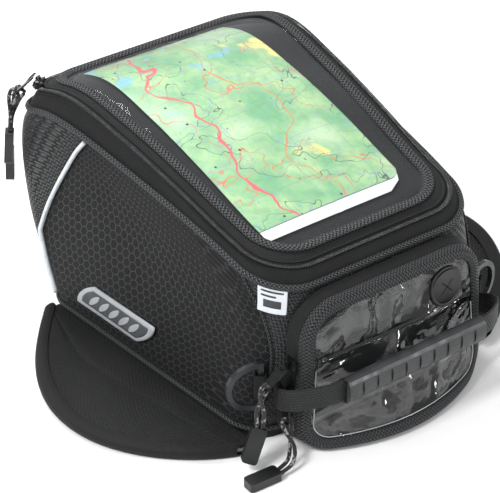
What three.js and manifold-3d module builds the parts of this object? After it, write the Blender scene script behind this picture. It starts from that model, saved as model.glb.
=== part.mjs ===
// Motorcycle tank bag with a map-window lid, a clear front pocket and two magnetic side flaps.
// Millimetres. +Z is up, +Y points to the handlebars, -Y to the rider, +X to the rider's right.
// The origin is on the surface under the middle of the base panel.
import * as THREE from 'three';
import { mergeVertices } from 'three/addons/utils/BufferGeometryUtils.js';
import Module from 'manifold-3d';

const wasm = await Module();
wasm.setup();

// ---------------------------------------------------------------- driving dimensions
const GAP = 0.4; // clearance between touching pieces
const BASE_Z = 14; // height of the base seam
const WALL = 3; // padded wall thickness
const WALL_TOP = 0.985; // the walls stop just under the rim piping
const TAPE = 1.8; // zip tape and binding thickness
const VINYL = 0.8;
const WEB_WIDTH = 25; // handle webbing
const WEB_THICK = 2;

// Outlines of the bag at a level are rounded rectangles that narrow toward the rider:
// rider end y, head end y, half width and corner radius at each end.
const BASE_LINE = { front: -141, back: 168, frontHalf: 130, backHalf: 142, frontR: 34, backR: 38 };
const RIM_LINE = { front: -149, back: 209, frontHalf: 118, backHalf: 136, frontR: 46, backR: 38 };
const ZIP_LINE = { front: -142, back: 198, frontHalf: 110, backHalf: 129, frontR: 44, backR: 34 };
const WINDOW_LINE = { front: -123, back: 178, frontHalf: 91, backHalf: 109, frontR: 34, backR: 26 };

// Side profiles, as (y, z): the wall's top seam and the lid zip.
const RIM_PROFILE = [[-149, 151], [-68, 173], [35, 192], [140, 203], [209, 188]];
const ZIP_PROFILE = [[-142, 164], [-79, 178], [-10, 198], [60, 215], [131, 225], [198, 208]];
const LID_CROWN = 7; // rise of the window's middle over its edges

// How far the walls stand out of a straight line from base to rim, by height fraction.
const FRONT_BULGE = [[0, 0], [0.3, -6], [0.6, -8], [0.85, -5], [1, 0]];
const BACK_BULGE = [[0, 0], [0.2, 10], [0.45, 18], [0.72, 20], [0.9, 12], [1, 0]];
const SIDE_BULGE = 4;

// Seam stations (see outlinePoint) by height fraction, for the bag's right side.
const CORNER_SEAM = [[0, 1.5], [0.5, 1.42], [0.8, 1.6], [1, 1.92]];
const PIPING_SEAM = [[0, 3.2], [0.25, 3.06], [0.5, 2.93], [0.75, 2.81], [1, 2.72]];

// Front pocket: a rounded box on the rider wall whose lower edge swells toward the rider.
const POCKET = { front: 4, back: 142, frontHalf: 103, backHalf: 97, frontR: 26, backR: 32 };
const POCKET_EDGE_Y = -170; // where its face meets its sides
const POCKET_SWELL = 35;
const POCKET_ZIP_Y = -163;
const BINDING_WIDTH = 9;
const FOLD_Z = 90; // the cover folds out above the carry handle

// Carry handle
const GRIP_CENTRE = new THREE.Vector3(0, -199, 72);
const GRIP_HALF = 77;
const GRIP_RADII = [8, 12.5]; // across and tall
const ANCHOR = new THREE.Vector3(116.5, -153, 60); // where the webbing turns on its sewn tail

// Magnetic flaps: a lobe that runs along the base seam
const FLAP_REACH = 96;
const FLAP_CROWN_Y = -15; // where the lobe reaches furthest
const FLAP_ENDS = [-141, 142];
const FLAP_THICK = 7;
const FLAP_HINGE_Z = 5.6;
const FLAP_REST = { left: 0, right: 17 }; // degrees above level
const FLAP_BINDING = 13;

// ---------------------------------------------------------------- materials
const COLOURS = {
  ballistic: [0x26272a, 0.85],
  hexFabric: [0x303235, 0.8],
  base: [0x1c1d1f, 0.9],
  tape: [0x222427, 0.75],
  mesh: [0x1b1c1e, 0.8],
  reflective: [0xc9d0d6, 0.35],
  vinyl: [0xdfe6e6, 0.08],
  map: [0xbfd9b4, 0.6],
  lining: [0x4a4c4f, 0.8],
  webbing: [0x2c302f, 0.85],
  rubber: [0x2b3236, 0.55],
  plastic: [0x333a42, 0.4],
  metal: [0x2b2c2e, 0.35],
  cord: [0x17181a, 0.8],
  badge: [0xa8acad, 0.55],
  label: [0xe8e9e8, 0.6],
  foam: [0x3c3e41, 0.9],
  magnet: [0x55585c, 0.4],
};

const bag = new THREE.Group();

function addMesh(name, geometry, colour, parent = bag) {
  const [hex, roughness] = COLOURS[colour];
  const metalness = colour === 'metal' || colour === 'magnet' ? 1 : 0;
  const mesh = new THREE.Mesh(
    geometry,
    new THREE.MeshStandardMaterial({ color: hex, roughness, metalness }),
  );
  mesh.name = name;
  parent.add(mesh);
  return mesh;
}

// ---------------------------------------------------------------- curves and outlines
// Smooth interpolation through (x, y) pairs sorted by x.
function profile(points, x) {
  const last = points.length - 1;
  if (x <= points[0][0]) return points[0][1];
  if (x >= points[last][0]) return points[last][1];
  let i = 0;
  while (x > points[i + 1][0]) i += 1;
  const [x0, y0] = points[i];
  const [x1, y1] = points[i + 1];
  const slope = (a, b) => (points[b][1] - points[a][1]) / (points[b][0] - points[a][0]);
  const m0 = slope(Math.max(i - 1, 0), i + 1);
  const m1 = slope(i, Math.min(i + 2, last));
  const h = x1 - x0;
  const t = (x - x0) / h;
  const t2 = t * t;
  const t3 = t2 * t;
  return (
    y0 * (2 * t3 - 3 * t2 + 1) + y1 * (3 * t2 - 2 * t3) + h * (m0 * (t3 - 2 * t2 + t) + m1 * (t3 - t2))
  );
}

// A point on a rounded outline. Stations run anticlockwise seen from above, five to each side:
// 0-1 front edge, 1-2 front corner, 2-3 side, 3-4 back corner, 4-5 back edge, then mirrored back.
function outlinePoint(line, station) {
  const wrapped = ((station % 10) + 10) % 10;
  const mirrored = wrapped > 5;
  const s = mirrored ? 10 - wrapped : wrapped;
  const frontX = line.frontHalf - line.frontR;
  const backX = line.backHalf - line.backR;
  const frontY = line.front + line.frontR;
  const backY = line.back - line.backR;
  let x;
  let y;
  if (s <= 1) {
    x = frontX * s;
    y = line.front;
  } else if (s <= 2) {
    const a = ((s - 1) * Math.PI) / 2;
    x = frontX + line.frontR * Math.sin(a);
    y = frontY - line.frontR * Math.cos(a);
  } else if (s <= 3) {
    x = THREE.MathUtils.lerp(line.frontHalf, line.backHalf, s - 2);
    y = THREE.MathUtils.lerp(frontY, backY, s - 2);
  } else if (s <= 4) {
    const a = ((s - 3) * Math.PI) / 2;
    x = backX + line.backR * Math.cos(a);
    y = backY + line.backR * Math.sin(a);
  } else {
    x = backX * (5 - s);
    y = line.back;
  }
  return new THREE.Vector2(mirrored ? -x : x, y);
}

function mixLines(a, b, t) {
  const line = {};
  for (const key of Object.keys(a)) line[key] = THREE.MathUtils.lerp(a[key], b[key], t);
  return line;
}

// Half the width of an outline at a distance along it, corners included.
function halfWidthAt(line, y) {
  const t = THREE.MathUtils.clamp((y - line.front) / (line.back - line.front), 0, 1);
  const half = THREE.MathUtils.lerp(line.frontHalf, line.backHalf, t);
  const corner = (distance, r) => (distance < r ? r - Math.sqrt(r * r - (r - distance) ** 2) : 0);
  return half - corner(y - line.front, line.frontR) - corner(line.back - y, line.backR);
}

function inset(line, d) {
  return {
    front: line.front + d,
    back: line.back - d,
    frontHalf: line.frontHalf - d,
    backHalf: line.backHalf - d,
    frontR: Math.max(line.frontR - d, 2),
    backR: Math.max(line.backR - d, 2),
  };
}

// The bag's outer wall at a station and a height fraction from base seam to rim seam.
function wallPoint(station, v) {
  const level = mixLines(BASE_LINE, RIM_LINE, v);
  level.front += profile(FRONT_BULGE, v);
  level.back += profile(BACK_BULGE, v);
  const side = SIDE_BULGE * Math.sin(Math.PI * v);
  level.frontHalf += side;
  level.backHalf += side;
  const p = outlinePoint(level, station);
  const top = profile(RIM_PROFILE, outlinePoint(RIM_LINE, station).y);
  return new THREE.Vector3(p.x, p.y, THREE.MathUtils.lerp(BASE_Z, top, v));
}

function linePoint(line, station, sideProfile, rise = 0) {
  const p = outlinePoint(line, station);
  return new THREE.Vector3(p.x, p.y, profile(sideProfile, p.y) + rise);
}

// ---------------------------------------------------------------- solids
function solidFrom(positions, triangles) {
  const geometry = new THREE.BufferGeometry();
  geometry.setAttribute('position', new THREE.Float32BufferAttribute(positions, 3));
  geometry.setIndex(triangles);
  let volume = 0;
  const at = (i) => new THREE.Vector3().fromArray(positions, 3 * i);
  for (let i = 0; i < triangles.length; i += 3) {
    volume += at(triangles[i]).dot(at(triangles[i + 1]).cross(at(triangles[i + 2])));
  }
  if (volume < 0) {
    for (let i = 0; i < triangles.length; i += 3) {
      const swap = triangles[i];
      triangles[i] = triangles[i + 1];
      triangles[i + 1] = swap;
    }
    geometry.setIndex(triangles);
  }
  geometry.computeVertexNormals();
  return geometry;
}

// A sheet of even thickness under the surface at(u, v), u and v in 0..1. The sheet lies on the side
// that the surface's du x dv normal points away from. With ring set, u closes on itself.
function sheet(at, columns, rows, thickness, ring = false) {
  const step = 1e-3;
  const perRow = ring ? columns : columns + 1;
  const count = perRow * (rows + 1);
  const positions = new Array(count * 6);
  for (let j = 0; j <= rows; j += 1) {
    for (let i = 0; i < perRow; i += 1) {
      const u = i / columns;
      const v = j / rows;
      const p = at(u, v);
      const uLow = ring ? u - step : Math.max(u - step, 0);
      const uHigh = ring ? u + step : Math.min(u + step, 1);
      const along = at(uHigh, v).sub(at(uLow, v));
      const across = at(u, Math.min(v + step, 1)).sub(at(u, Math.max(v - step, 0)));
      const normal = along.cross(across).normalize();
      const k = j * perRow + i;
      p.toArray(positions, 3 * k);
      p.addScaledVector(normal, -thickness).toArray(positions, 3 * (k + count));
    }
  }
  const triangles = [];
  const quad = (a, b, c, d) => triangles.push(a, b, c, a, c, d);
  const id = (i, j) => j * perRow + (ring ? i % columns : i);
  for (let j = 0; j < rows; j += 1) {
    for (let i = 0; i < columns; i += 1) {
      const corners = [id(i, j), id(i + 1, j), id(i + 1, j + 1), id(i, j + 1)];
      quad(...corners);
      quad(...corners.reverse().map((c) => c + count));
    }
  }
  for (let i = 0; i < columns; i += 1) {
    quad(id(i + 1, 0), id(i, 0), id(i, 0) + count, id(i + 1, 0) + count);
    quad(id(i, rows), id(i + 1, rows), id(i + 1, rows) + count, id(i, rows) + count);
  }
  if (!ring) {
    for (let j = 0; j < rows; j += 1) {
      quad(id(0, j), id(0, j + 1), id(0, j + 1) + count, id(0, j) + count);
      quad(id(columns, j + 1), id(columns, j), id(columns, j) + count, id(columns, j + 1) + count);
    }
  }
  return solidFrom(positions, triangles);
}

// A flat or domed sheet over a rounded outline: x across, the outline's length up the rows.
function panelInside(line, place, columns, rows, thickness) {
  const at = (u, v) => {
    const along = THREE.MathUtils.lerp(line.front, line.back, v);
    return place(halfWidthAt(line, along) * (2 * u - 1), along);
  };
  return sheet(at, columns, rows, thickness);
}

function tube(points, radius, closed = false, steps = points.length * 2) {
  const section = new THREE.Shape();
  section.absarc(0, 0, radius, 0, 2 * Math.PI);
  const path = new THREE.CatmullRomCurve3(points, closed, 'centripetal');
  return new THREE.ExtrudeGeometry(section, {
    steps,
    curveSegments: 4,
    bevelEnabled: false,
    extrudePath: path,
  });
}

function extrude(shape, depth) {
  const geometry = new THREE.ExtrudeGeometry(shape, { depth, curveSegments: 5, bevelEnabled: false });
  return geometry.translate(0, 0, -depth / 2);
}

// A rounded rectangle in its own x and y, leaning sideways by lean over its height.
function roundedPlate(width, height, radius, lean = 0) {
  const shape = new THREE.Shape();
  const corners = [[-1, -1, Math.PI], [1, -1, 1.5 * Math.PI], [1, 1, 0], [-1, 1, 0.5 * Math.PI]];
  const turn = 4;
  for (const [sx, sy, start] of corners) {
    for (let i = 0; i <= turn; i += 1) {
      const a = start + (i * Math.PI) / (2 * turn);
      const y = sy * (height / 2 - radius) + radius * Math.sin(a);
      const x = sx * (width / 2 - radius) + radius * Math.cos(a) + (lean * y) / height;
      if (shape.curves.length === 0 && shape.currentPoint.lengthSq() === 0) shape.moveTo(x, y);
      else shape.lineTo(x, y);
    }
  }
  shape.closePath();
  return shape;
}

function circleHole(shape, x, y, radius) {
  const hole = new THREE.Path();
  hole.absarc(x, y, radius, 0, 2 * Math.PI);
  shape.holes.push(hole);
}

function toManifold(geometry) {
  const bare = geometry.clone();
  bare.deleteAttribute('normal');
  bare.deleteAttribute('uv');
  const merged = mergeVertices(bare, 1e-4);
  return new wasm.Manifold(
    new wasm.Mesh({
      numProp: 3,
      vertProperties: new Float32Array(merged.attributes.position.array),
      triVerts: new Uint32Array(merged.index.array),
    }),
  );
}

function fromManifold(solid) {
  const mesh = solid.getMesh();
  const geometry = new THREE.BufferGeometry();
  geometry.setAttribute('position', new THREE.BufferAttribute(new Float32Array(mesh.vertProperties), 3));
  geometry.setIndex(new THREE.BufferAttribute(new Uint32Array(mesh.triVerts), 1));
  geometry.computeVertexNormals();
  return geometry;
}

function box(width, depth, height, x, y, z) {
  return new THREE.BoxGeometry(width, depth, height).translate(x, y, z);
}

// ---------------------------------------------------------------- walls and base
function seamPair(seam, v) {
  const s = profile(seam, v);
  return { right: s, left: 10 - s };
}

function wallPanel(name, colour, from, to, columns) {
  const margin = 0.01;
  const at = (u, v) => {
    const a = from(v) + margin;
    const b = to(v) - margin;
    return wallPoint(THREE.MathUtils.lerp(a, b, u), v * WALL_TOP);
  };
  addMesh(name, sheet(at, columns, 7, WALL), colour);
}

function buildWalls() {
  const corner = (v) => seamPair(CORNER_SEAM, v);
  const piping = (v) => seamPair(PIPING_SEAM, v);
  wallPanel('rider_panel', 'ballistic', (v) => -corner(v).right, (v) => corner(v).right, 16);
  wallPanel('right_side_panel', 'hexFabric', (v) => corner(v).right, (v) => piping(v).right, 12);
  wallPanel('head_panel', 'ballistic', (v) => piping(v).right, (v) => piping(v).left, 18);
  wallPanel('left_side_panel', 'hexFabric', (v) => piping(v).left, (v) => corner(v).left, 12);
}

function buildReflectivePiping() {
  const radius = 2;
  for (const side of ['left', 'right']) {
    const points = [];
    for (let i = 0; i <= 10; i += 1) {
      const v = THREE.MathUtils.lerp(0.04, 0.97, i / 10);
      const station = seamPair(PIPING_SEAM, v)[side];
      const p = wallPoint(station, v);
      const along = wallPoint(station + 0.01, v).sub(wallPoint(station - 0.01, v));
      const up = wallPoint(station, v + 0.01).sub(wallPoint(station, v - 0.01));
      const out = along.cross(up).normalize();
      points.push(p.addScaledVector(out, radius + 0.6));
    }
    addMesh(`${side}_reflective_piping`, tube(points, radius, false, 16), 'reflective');
  }
}

function basePlate(d, thick) {
  const plan = inset(BASE_LINE, d);
  const shape = new THREE.Shape();
  for (let i = 0; i < 60; i += 1) {
    const p = outlinePoint(plan, i / 6);
    if (i === 0) shape.moveTo(p.x, p.y);
    else shape.lineTo(p.x, p.y);
  }
  shape.closePath();
  return extrude(shape, thick);
}

function buildBase() {
  const panelThick = 8;
  addMesh('base_panel', basePlate(3, panelThick).translate(0, 0, panelThick / 2), 'base');
  const stiffThick = 3;
  const stiffZ = panelThick + GAP + stiffThick / 2;
  addMesh('base_stiffener', basePlate(12, stiffThick).translate(0, 0, stiffZ), 'foam');
  const pipeRadius = 2;
  const pipe = [];
  for (let i = 0; i < 60; i += 1) {
    const p = outlinePoint(BASE_LINE, i / 6);
    pipe.push(new THREE.Vector3(p.x * 0.994, p.y * 0.994 + 0.1, BASE_Z - pipeRadius - GAP));
  }
  addMesh('base_piping', tube(pipe, pipeRadius, true, 52), 'mesh');
}

// ---------------------------------------------------------------- lid
function buildZipTape() {
  const rim = (s) => wallPoint(s, 1).add(new THREE.Vector3(0, 0, GAP));
  const zip = (s) => linePoint(ZIP_LINE, s, ZIP_PROFILE);
  const at = (u, v) => {
    const s = 10 * u;
    const p = rim(s).lerp(zip(s), v);
    const swell = 2 * Math.sin(Math.PI * v);
    return p.add(new THREE.Vector3(0, 0, swell));
  };
  addMesh('body_zip_tape', sheet(at, 56, 2, TAPE, true), 'tape');
}

function lidHeight(x, y) {
  const along = (y - WINDOW_LINE.front) / (WINDOW_LINE.back - WINDOW_LINE.front);
  const across = x / 107;
  const dome = Math.max(0, 4 * along * (1 - along)) * Math.max(0, 1 - across * across);
  return profile(ZIP_PROFILE, y) + 5 + LID_CROWN * dome;
}

function buildLid(lid) {
  const outer = inset(ZIP_LINE, 1.2);
  const at = (u, v) => {
    const s = 10 * u;
    const a = linePoint(outer, s, ZIP_PROFILE, 0.4);
    const b = linePoint(WINDOW_LINE, s, ZIP_PROFILE, 5);
    return a.lerp(b, v).add(new THREE.Vector3(0, 0, 2.5 * Math.sin(Math.PI * v)));
  };
  addMesh('lid_frame', sheet(at, 56, 3, TAPE, true), 'tape', lid);
  const glass = inset(WINDOW_LINE, 1.8);
  const window = panelInside(glass, (x, y) => new THREE.Vector3(x, y, lidHeight(x, y)), 10, 12, VINYL);
  addMesh('map_window', window, 'vinyl', lid);
  const mapLine = { front: -105, back: 168, frontHalf: 79, backHalf: 79, frontR: 2, backR: 2 };
  const mapShift = -6;
  const mapDrop = 1.8;
  const mapAt = (x, y) => new THREE.Vector3(x + mapShift, y, lidHeight(x + mapShift, y) - mapDrop);
  addMesh('map_sheet', panelInside(mapLine, mapAt, 10, 12, 0.5), 'map', lid);
  const backDrop = 4.6;
  const backAt = (x, y) => new THREE.Vector3(x, y, lidHeight(x, y) - backDrop);
  addMesh('map_pocket_backing', panelInside(glass, backAt, 10, 12, 1.6), 'lining', lid);
}

// A strip of fabric inside the head end that the lid turns on.
function buildHingeStrip() {
  const half = 86;
  const top = linePoint(ZIP_LINE, 5, ZIP_PROFILE).z;
  const at = (u, v) => {
    const x = half * (1 - 2 * u);
    return new THREE.Vector3(x, ZIP_LINE.back + 3 - 2.5 * v, top - 16 + 11 * v);
  };
  addMesh('lid_hinge_strip', sheet(at, 8, 2, 1.2), 'tape');
}

// ---------------------------------------------------------------- front pocket
// The pocket's outlines are in x and z. Its face bows toward the rider, most at the bottom.
function pocketFaceY(x, z) {
  const drop = THREE.MathUtils.clamp((POCKET.back - z) / (POCKET.back - POCKET.front), 0, 1);
  const across = THREE.MathUtils.clamp(1 - (x / POCKET.frontHalf) ** 2, 0, 1);
  return POCKET_EDGE_Y - POCKET_SWELL * across * drop ** 1.6;
}

function pocketPoint(line, station, y) {
  const p = outlinePoint(line, station);
  return new THREE.Vector3(p.x, y(p.x, p.y), p.y);
}

function riderWallY(x, z) {
  const v = THREE.MathUtils.clamp((z - BASE_Z) / 137, 0, 1);
  const level = mixLines(BASE_LINE, RIM_LINE, v);
  level.front += profile(FRONT_BULGE, v);
  const over = Math.abs(x) - (level.frontHalf - level.frontR);
  const r = level.frontR;
  const back = over > 0 ? r - Math.sqrt(Math.max(r * r - over * over, 0)) : 0;
  return level.front + back;
}

function buildPocketGusset() {
  const root = inset(POCKET, -3);
  const at = (u, v) => {
    const s = -10 * u;
    const a = pocketPoint(root, s, (x, z) => Math.min(riderWallY(x, z), -144) - 2.5);
    const b = pocketPoint(POCKET, s, (x, z) => POCKET_ZIP_Y - zipSwell(x, z));
    const p = a.lerp(b, v);
    return p.setZ(Math.max(p.z, 2.6));
  };
  addMesh('pocket_gusset', sheet(at, 44, 2, TAPE, true), 'tape');
}

function zipSwell(x, z) {
  return POCKET_EDGE_Y - pocketFaceY(x, z);
}

// The cover's rim: a side band from the zip to the face's edge, then the binding on the face.
function coverRim(from, to, columns) {
  const inner = inset(POCKET, BINDING_WIDTH);
  const at = (u, v) => {
    const s = THREE.MathUtils.lerp(from, to, u);
    const zip = pocketPoint(POCKET, s, (x, z) => POCKET_ZIP_Y - 0.8 - zipSwell(x, z));
    const edge = pocketPoint(inset(POCKET, 1.5), s, (x, z) => POCKET_EDGE_Y - zipSwell(x, z));
    const rim = pocketPoint(inner, s, pocketFaceY);
    const p = v < 0.5 ? zip.lerp(edge, 2 * v) : edge.lerp(rim, 2 * v - 1);
    return p.setZ(Math.max(p.z, 3));
  };
  return sheet(at, columns, 3, TAPE);
}

function buildPocket(cover) {
  const side = POCKET.back - POCKET.backR - (POCKET.front + POCKET.frontR);
  const fold = 2 + (FOLD_Z - (POCKET.front + POCKET.frontR)) / side;
  const slack = 0.012;
  addMesh('pocket_rim_upper', coverRim(10 - fold - slack, fold + slack, 20), 'mesh', cover);
  addMesh('pocket_rim_lower', coverRim(fold - slack, -fold + slack, 26), 'mesh');
  const inner = inset(POCKET, BINDING_WIDTH + 1.4);
  const pane = (low, high, rows) => {
    const at = (u, v) => {
      const z = THREE.MathUtils.lerp(low, high, v);
      const x = halfWidthAt(inner, z) * (2 * u - 1);
      return new THREE.Vector3(x, pocketFaceY(x, z), z);
    };
    return sheet(at, 10, rows, VINYL);
  };
  const upper = toManifold(pane(FOLD_Z + 0.5, inner.back, 4)).subtract(toManifold(portCutter()));
  addMesh('pocket_window_upper', fromManifold(upper), 'vinyl', cover);
  addMesh('pocket_window_lower', pane(inner.front, FOLD_Z - 0.5, 6), 'vinyl');
}

// Rubber cable port: a flanged disc with a cross slit.
const PORT = { x: 57, z: 110, radius: 17, depth: 5 };

function portDisc(radius, depth) {
  const y = pocketFaceY(PORT.x, PORT.z);
  return new THREE.CylinderGeometry(radius, radius, depth, 28).translate(PORT.x, y, PORT.z);
}

function portCutter() {
  return portDisc(PORT.radius + GAP, 20);
}

function buildCablePort(cover) {
  const y = pocketFaceY(PORT.x, PORT.z);
  let port = toManifold(portDisc(PORT.radius, PORT.depth));
  for (const turn of [Math.PI / 4, -Math.PI / 4]) {
    const slit = new THREE.BoxGeometry(17, 20, 0.8).rotateY(turn).translate(PORT.x, y, PORT.z);
    port = port.subtract(toManifold(slit));
  }
  addMesh('cable_port', fromManifold(port), 'rubber', cover);
}

function buildPocketInside() {
  const strapY = -164;
  addMesh('pocket_elastic_strap', box(176, 1.2, 19, 0, strapY, 106), 'webbing');
  addMesh('phone_sleeve', box(150, 1.6, 70, 0, -159.6, 55), 'lining');
}

// ---------------------------------------------------------------- carry handle
function buildHandle(handle) {
  const plan = [
    [-ANCHOR.x - 1, ANCHOR.y - 4],
    [-120, -167],
    [-115, -181],
    [-98, -193.5],
    [-GRIP_HALF - 3, GRIP_CENTRE.y],
    [-GRIP_HALF + 20, GRIP_CENTRE.y],
  ];
  const ribbon = [];
  for (const [x, y] of plan) {
    const t = THREE.MathUtils.clamp((ANCHOR.y - y) / (ANCHOR.y - GRIP_CENTRE.y), 0, 1);
    ribbon.push(new THREE.Vector3(x, y, THREE.MathUtils.lerp(ANCHOR.z, GRIP_CENTRE.z, t)));
  }
  const mirrored = ribbon.map((p) => new THREE.Vector3(-p.x, p.y, p.z)).reverse();
  const middle = new THREE.Vector3(0, GRIP_CENTRE.y, GRIP_CENTRE.z);
  const path = new THREE.CatmullRomCurve3([...ribbon, middle, ...mirrored], false, 'centripetal');
  const at = (u, v) => {
    const p = path.getPoint(u);
    return p.add(new THREE.Vector3(0, 0, WEB_WIDTH * 0.84 * (v - 0.5)));
  };
  addMesh('handle_webbing', sheet(at, 36, 1, WEB_THICK), 'webbing', handle);
  buildGrip(handle);
}

function buildGrip(handle) {
  const [across, tall] = GRIP_RADII;
  const section = new THREE.Shape();
  section.absellipse(0, 0, across, tall, 0, 2 * Math.PI);
  const slot = new THREE.Path();
  const slotHalf = [WEB_THICK + 0.8, (WEB_WIDTH * 0.84) / 2 + 0.5];
  slot.moveTo(-slotHalf[0], -slotHalf[1]);
  slot.lineTo(-slotHalf[0], slotHalf[1]);
  slot.lineTo(slotHalf[0], slotHalf[1]);
  slot.lineTo(slotHalf[0], -slotHalf[1]);
  slot.closePath();
  section.holes.push(slot);
  const sleeve = new THREE.ExtrudeGeometry(section, {
    depth: 2 * GRIP_HALF,
    curveSegments: 10,
    bevelEnabled: false,
  });
  sleeve.rotateX(Math.PI / 2).rotateZ(Math.PI / 2);
  sleeve.translate(-GRIP_HALF, GRIP_CENTRE.y, GRIP_CENTRE.z);
  let grip = toManifold(sleeve);
  const slots = 9;
  for (let i = 0; i < slots; i += 1) {
    const x = GRIP_HALF * 1.64 * (i / (slots - 1) - 0.5);
    const cut = box(3, 3, 13, x, GRIP_CENTRE.y - across, GRIP_CENTRE.z);
    grip = grip.subtract(toManifold(cut));
  }
  addMesh('handle_grip', fromManifold(grip), 'rubber', handle);
}

// The webbing's ends stand out of the corner seams.
function buildHandleAnchors() {
  for (const [side, sign] of [['left', -1], ['right', 1]]) {
    const tail = new THREE.BoxGeometry(7, WEB_THICK, WEB_WIDTH * 0.84);
    tail.rotateZ(-sign * 1).translate(sign * (ANCHOR.x - 2.5), ANCHOR.y + 4.4, ANCHOR.z);
    addMesh(`handle_anchor_${side}`, tail, 'webbing');
  }
}

// ---------------------------------------------------------------- D-rings
const RING = { x: 122.7, y: -142.8, z: 66, half: 21, reach: 29, wire: 2.4, thick: 4.4 };
const RING_SPLAY = 0.3; // how far the rings lean back along the sides
const LOOP = { outer: 10, inner: 7.6, height: 24 };

function buildRings() {
  for (const [side, sign] of [['left', -1], ['right', 1]]) {
    const pivot = new THREE.Group();
    pivot.position.set(sign * RING.x, RING.y, RING.z);
    bag.add(pivot);
    const outline = new THREE.Shape();
    const hollow = new THREE.Path();
    const trace = (path, grow) => {
      path.moveTo(-grow, -RING.half - grow);
      path.lineTo(6, -RING.half - grow);
      path.absellipse(6, 0, RING.reach - 6 + grow, RING.half + grow, -Math.PI / 2, Math.PI / 2);
      path.lineTo(-grow, RING.half + grow);
      path.closePath();
    };
    trace(outline, RING.wire);
    trace(hollow, -RING.wire);
    outline.holes.push(hollow);
    const ring = extrude(outline, RING.thick).rotateX(Math.PI / 2);
    ring.rotateZ(sign > 0 ? RING_SPLAY : Math.PI - RING_SPLAY);
    addMesh(`d_ring_${side}`, ring, 'plastic', pivot);
    const loop = roundedPlate(LOOP.outer, LOOP.outer, 2);
    const eye = new THREE.Path();
    for (const [i, [x, y]] of [[-1, -1], [-1, 1], [1, 1], [1, -1]].entries()) {
      const corner = [(x * LOOP.inner) / 2, (y * LOOP.inner) / 2];
      if (i === 0) eye.moveTo(...corner);
      else eye.lineTo(...corner);
    }
    eye.closePath();
    loop.holes.push(eye);
    const tab = extrude(loop, LOOP.height).rotateZ(Math.PI / 4);
    addMesh(`d_ring_tab_${side}`, tab, 'webbing', pivot);
  }
}

// ---------------------------------------------------------------- flaps
function flapReach(y) {
  const rearward = y > FLAP_CROWN_Y;
  const end = rearward ? FLAP_ENDS[1] + 8 : FLAP_ENDS[0] - 3;
  const t = (y - FLAP_CROWN_Y) / (end - FLAP_CROWN_Y);
  return 6 + FLAP_REACH * Math.max(1 - t * t, 0) ** (rearward ? 1.1 : 0.75);
}

// Flaps are built lying level, hinge along y at the origin, reaching out along x.
function buildFlap(side, sign) {
  const swing = new THREE.Group();
  const along = new THREE.Vector2(BASE_LINE.backHalf - BASE_LINE.frontHalf, BASE_LINE.back - BASE_LINE.front);
  const splay = Math.atan2(along.x, along.y);
  const middleX = (BASE_LINE.frontHalf + BASE_LINE.backHalf) / 2 + 1.5;
  swing.position.set(sign * middleX, 0, FLAP_HINGE_Z);
  swing.rotation.set(0, THREE.MathUtils.degToRad(-sign * FLAP_REST[side]), -sign * splay, 'ZYX');
  bag.add(swing);
  const half = FLAP_THICK / 2;
  const root = 2;
  const coverRoot = 7;
  const spanY = (u) => THREE.MathUtils.lerp(FLAP_ENDS[0], FLAP_ENDS[1], sign > 0 ? u : 1 - u);
  const layer = (name, colour, top, thickness, ends) => {
    const at = (u, v) => {
      const y = THREE.MathUtils.lerp(ends[0], ends[1], sign > 0 ? u : 1 - u);
      const out = Math.max(flapReach(y) - FLAP_BINDING - GAP, coverRoot + 1);
      return new THREE.Vector3(sign * THREE.MathUtils.lerp(coverRoot, out, v), y, top);
    };
    addMesh(name, sheet((u, v) => at(u, 1 - v), 24, 2, thickness), colour, swing);
  };
  const short = [FLAP_ENDS[0] + 12, FLAP_ENDS[1] - 14];
  layer(`flap_${side}_cover`, 'ballistic', half, 2, short);
  layer(`flap_${side}_backing`, 'base', -half + 1.6, 1.6, short);
  const edge = (u, v) => {
    const y = spanY(u);
    const reach = flapReach(y);
    const inner = Math.max(reach - FLAP_BINDING, root);
    return new THREE.Vector3(sign * THREE.MathUtils.lerp(reach, inner, v), y, half + 0.2);
  };
  addMesh(`flap_${side}_binding`, sheet(edge, 36, 1, FLAP_THICK + 0.4), 'mesh', swing);
  for (const [index, y] of [[1, -50], [2, 36]]) {
    const magnet = box(44, 62, 2.6, sign * 37, y, 0.2);
    addMesh(`flap_${side}_magnet_${index}`, magnet, 'magnet', swing);
  }
}

// ---------------------------------------------------------------- badges and label
// A point on a side wall, by its distance along the bag and its height.
function sidePoint(side, y, z) {
  const v = (z - BASE_Z) / (profile(RIM_PROFILE, y) - BASE_Z);
  const level = mixLines(BASE_LINE, RIM_LINE, v);
  const low = level.front + profile(FRONT_BULGE, v) + level.frontR;
  const high = level.back + profile(BACK_BULGE, v) - level.backR;
  const station = 2 + (y - low) / (high - low);
  return wallPoint(side === 'right' ? station : 10 - station, v);
}

const BADGE = { y: 48, z: 44, length: 99, height: 27, slant: 26 };

function buildBadges() {
  for (const [side, sign] of [['left', -1], ['right', 1]]) {
    const at = (u, v) => {
      const along = BADGE.y + BADGE.length * sign * (u - 0.5) - BADGE.slant * (v - 0.5);
      const p = sidePoint(side, along, BADGE.z + BADGE.height * (v - 0.5));
      return p.setX(p.x + sign * 2.8);
    };
    addMesh(`${side}_badge`, sheet(at, 6, 2, 2), 'badge');
  }
}

function buildLabel() {
  const station = -1.5;
  const at = (u, v) => {
    const s = station + 0.34 * (u - 0.5);
    const h = THREE.MathUtils.lerp(0.84, 0.99, v);
    const p = wallPoint(s, h);
    const along = wallPoint(s + 0.01, h).sub(wallPoint(s - 0.01, h));
    const up = wallPoint(s, h).sub(wallPoint(s, h - 0.01));
    return p.addScaledVector(along.cross(up).normalize(), 1.4);
  };
  addMesh('front_label', sheet(at, 4, 3, 0.8), 'label');
}

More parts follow.
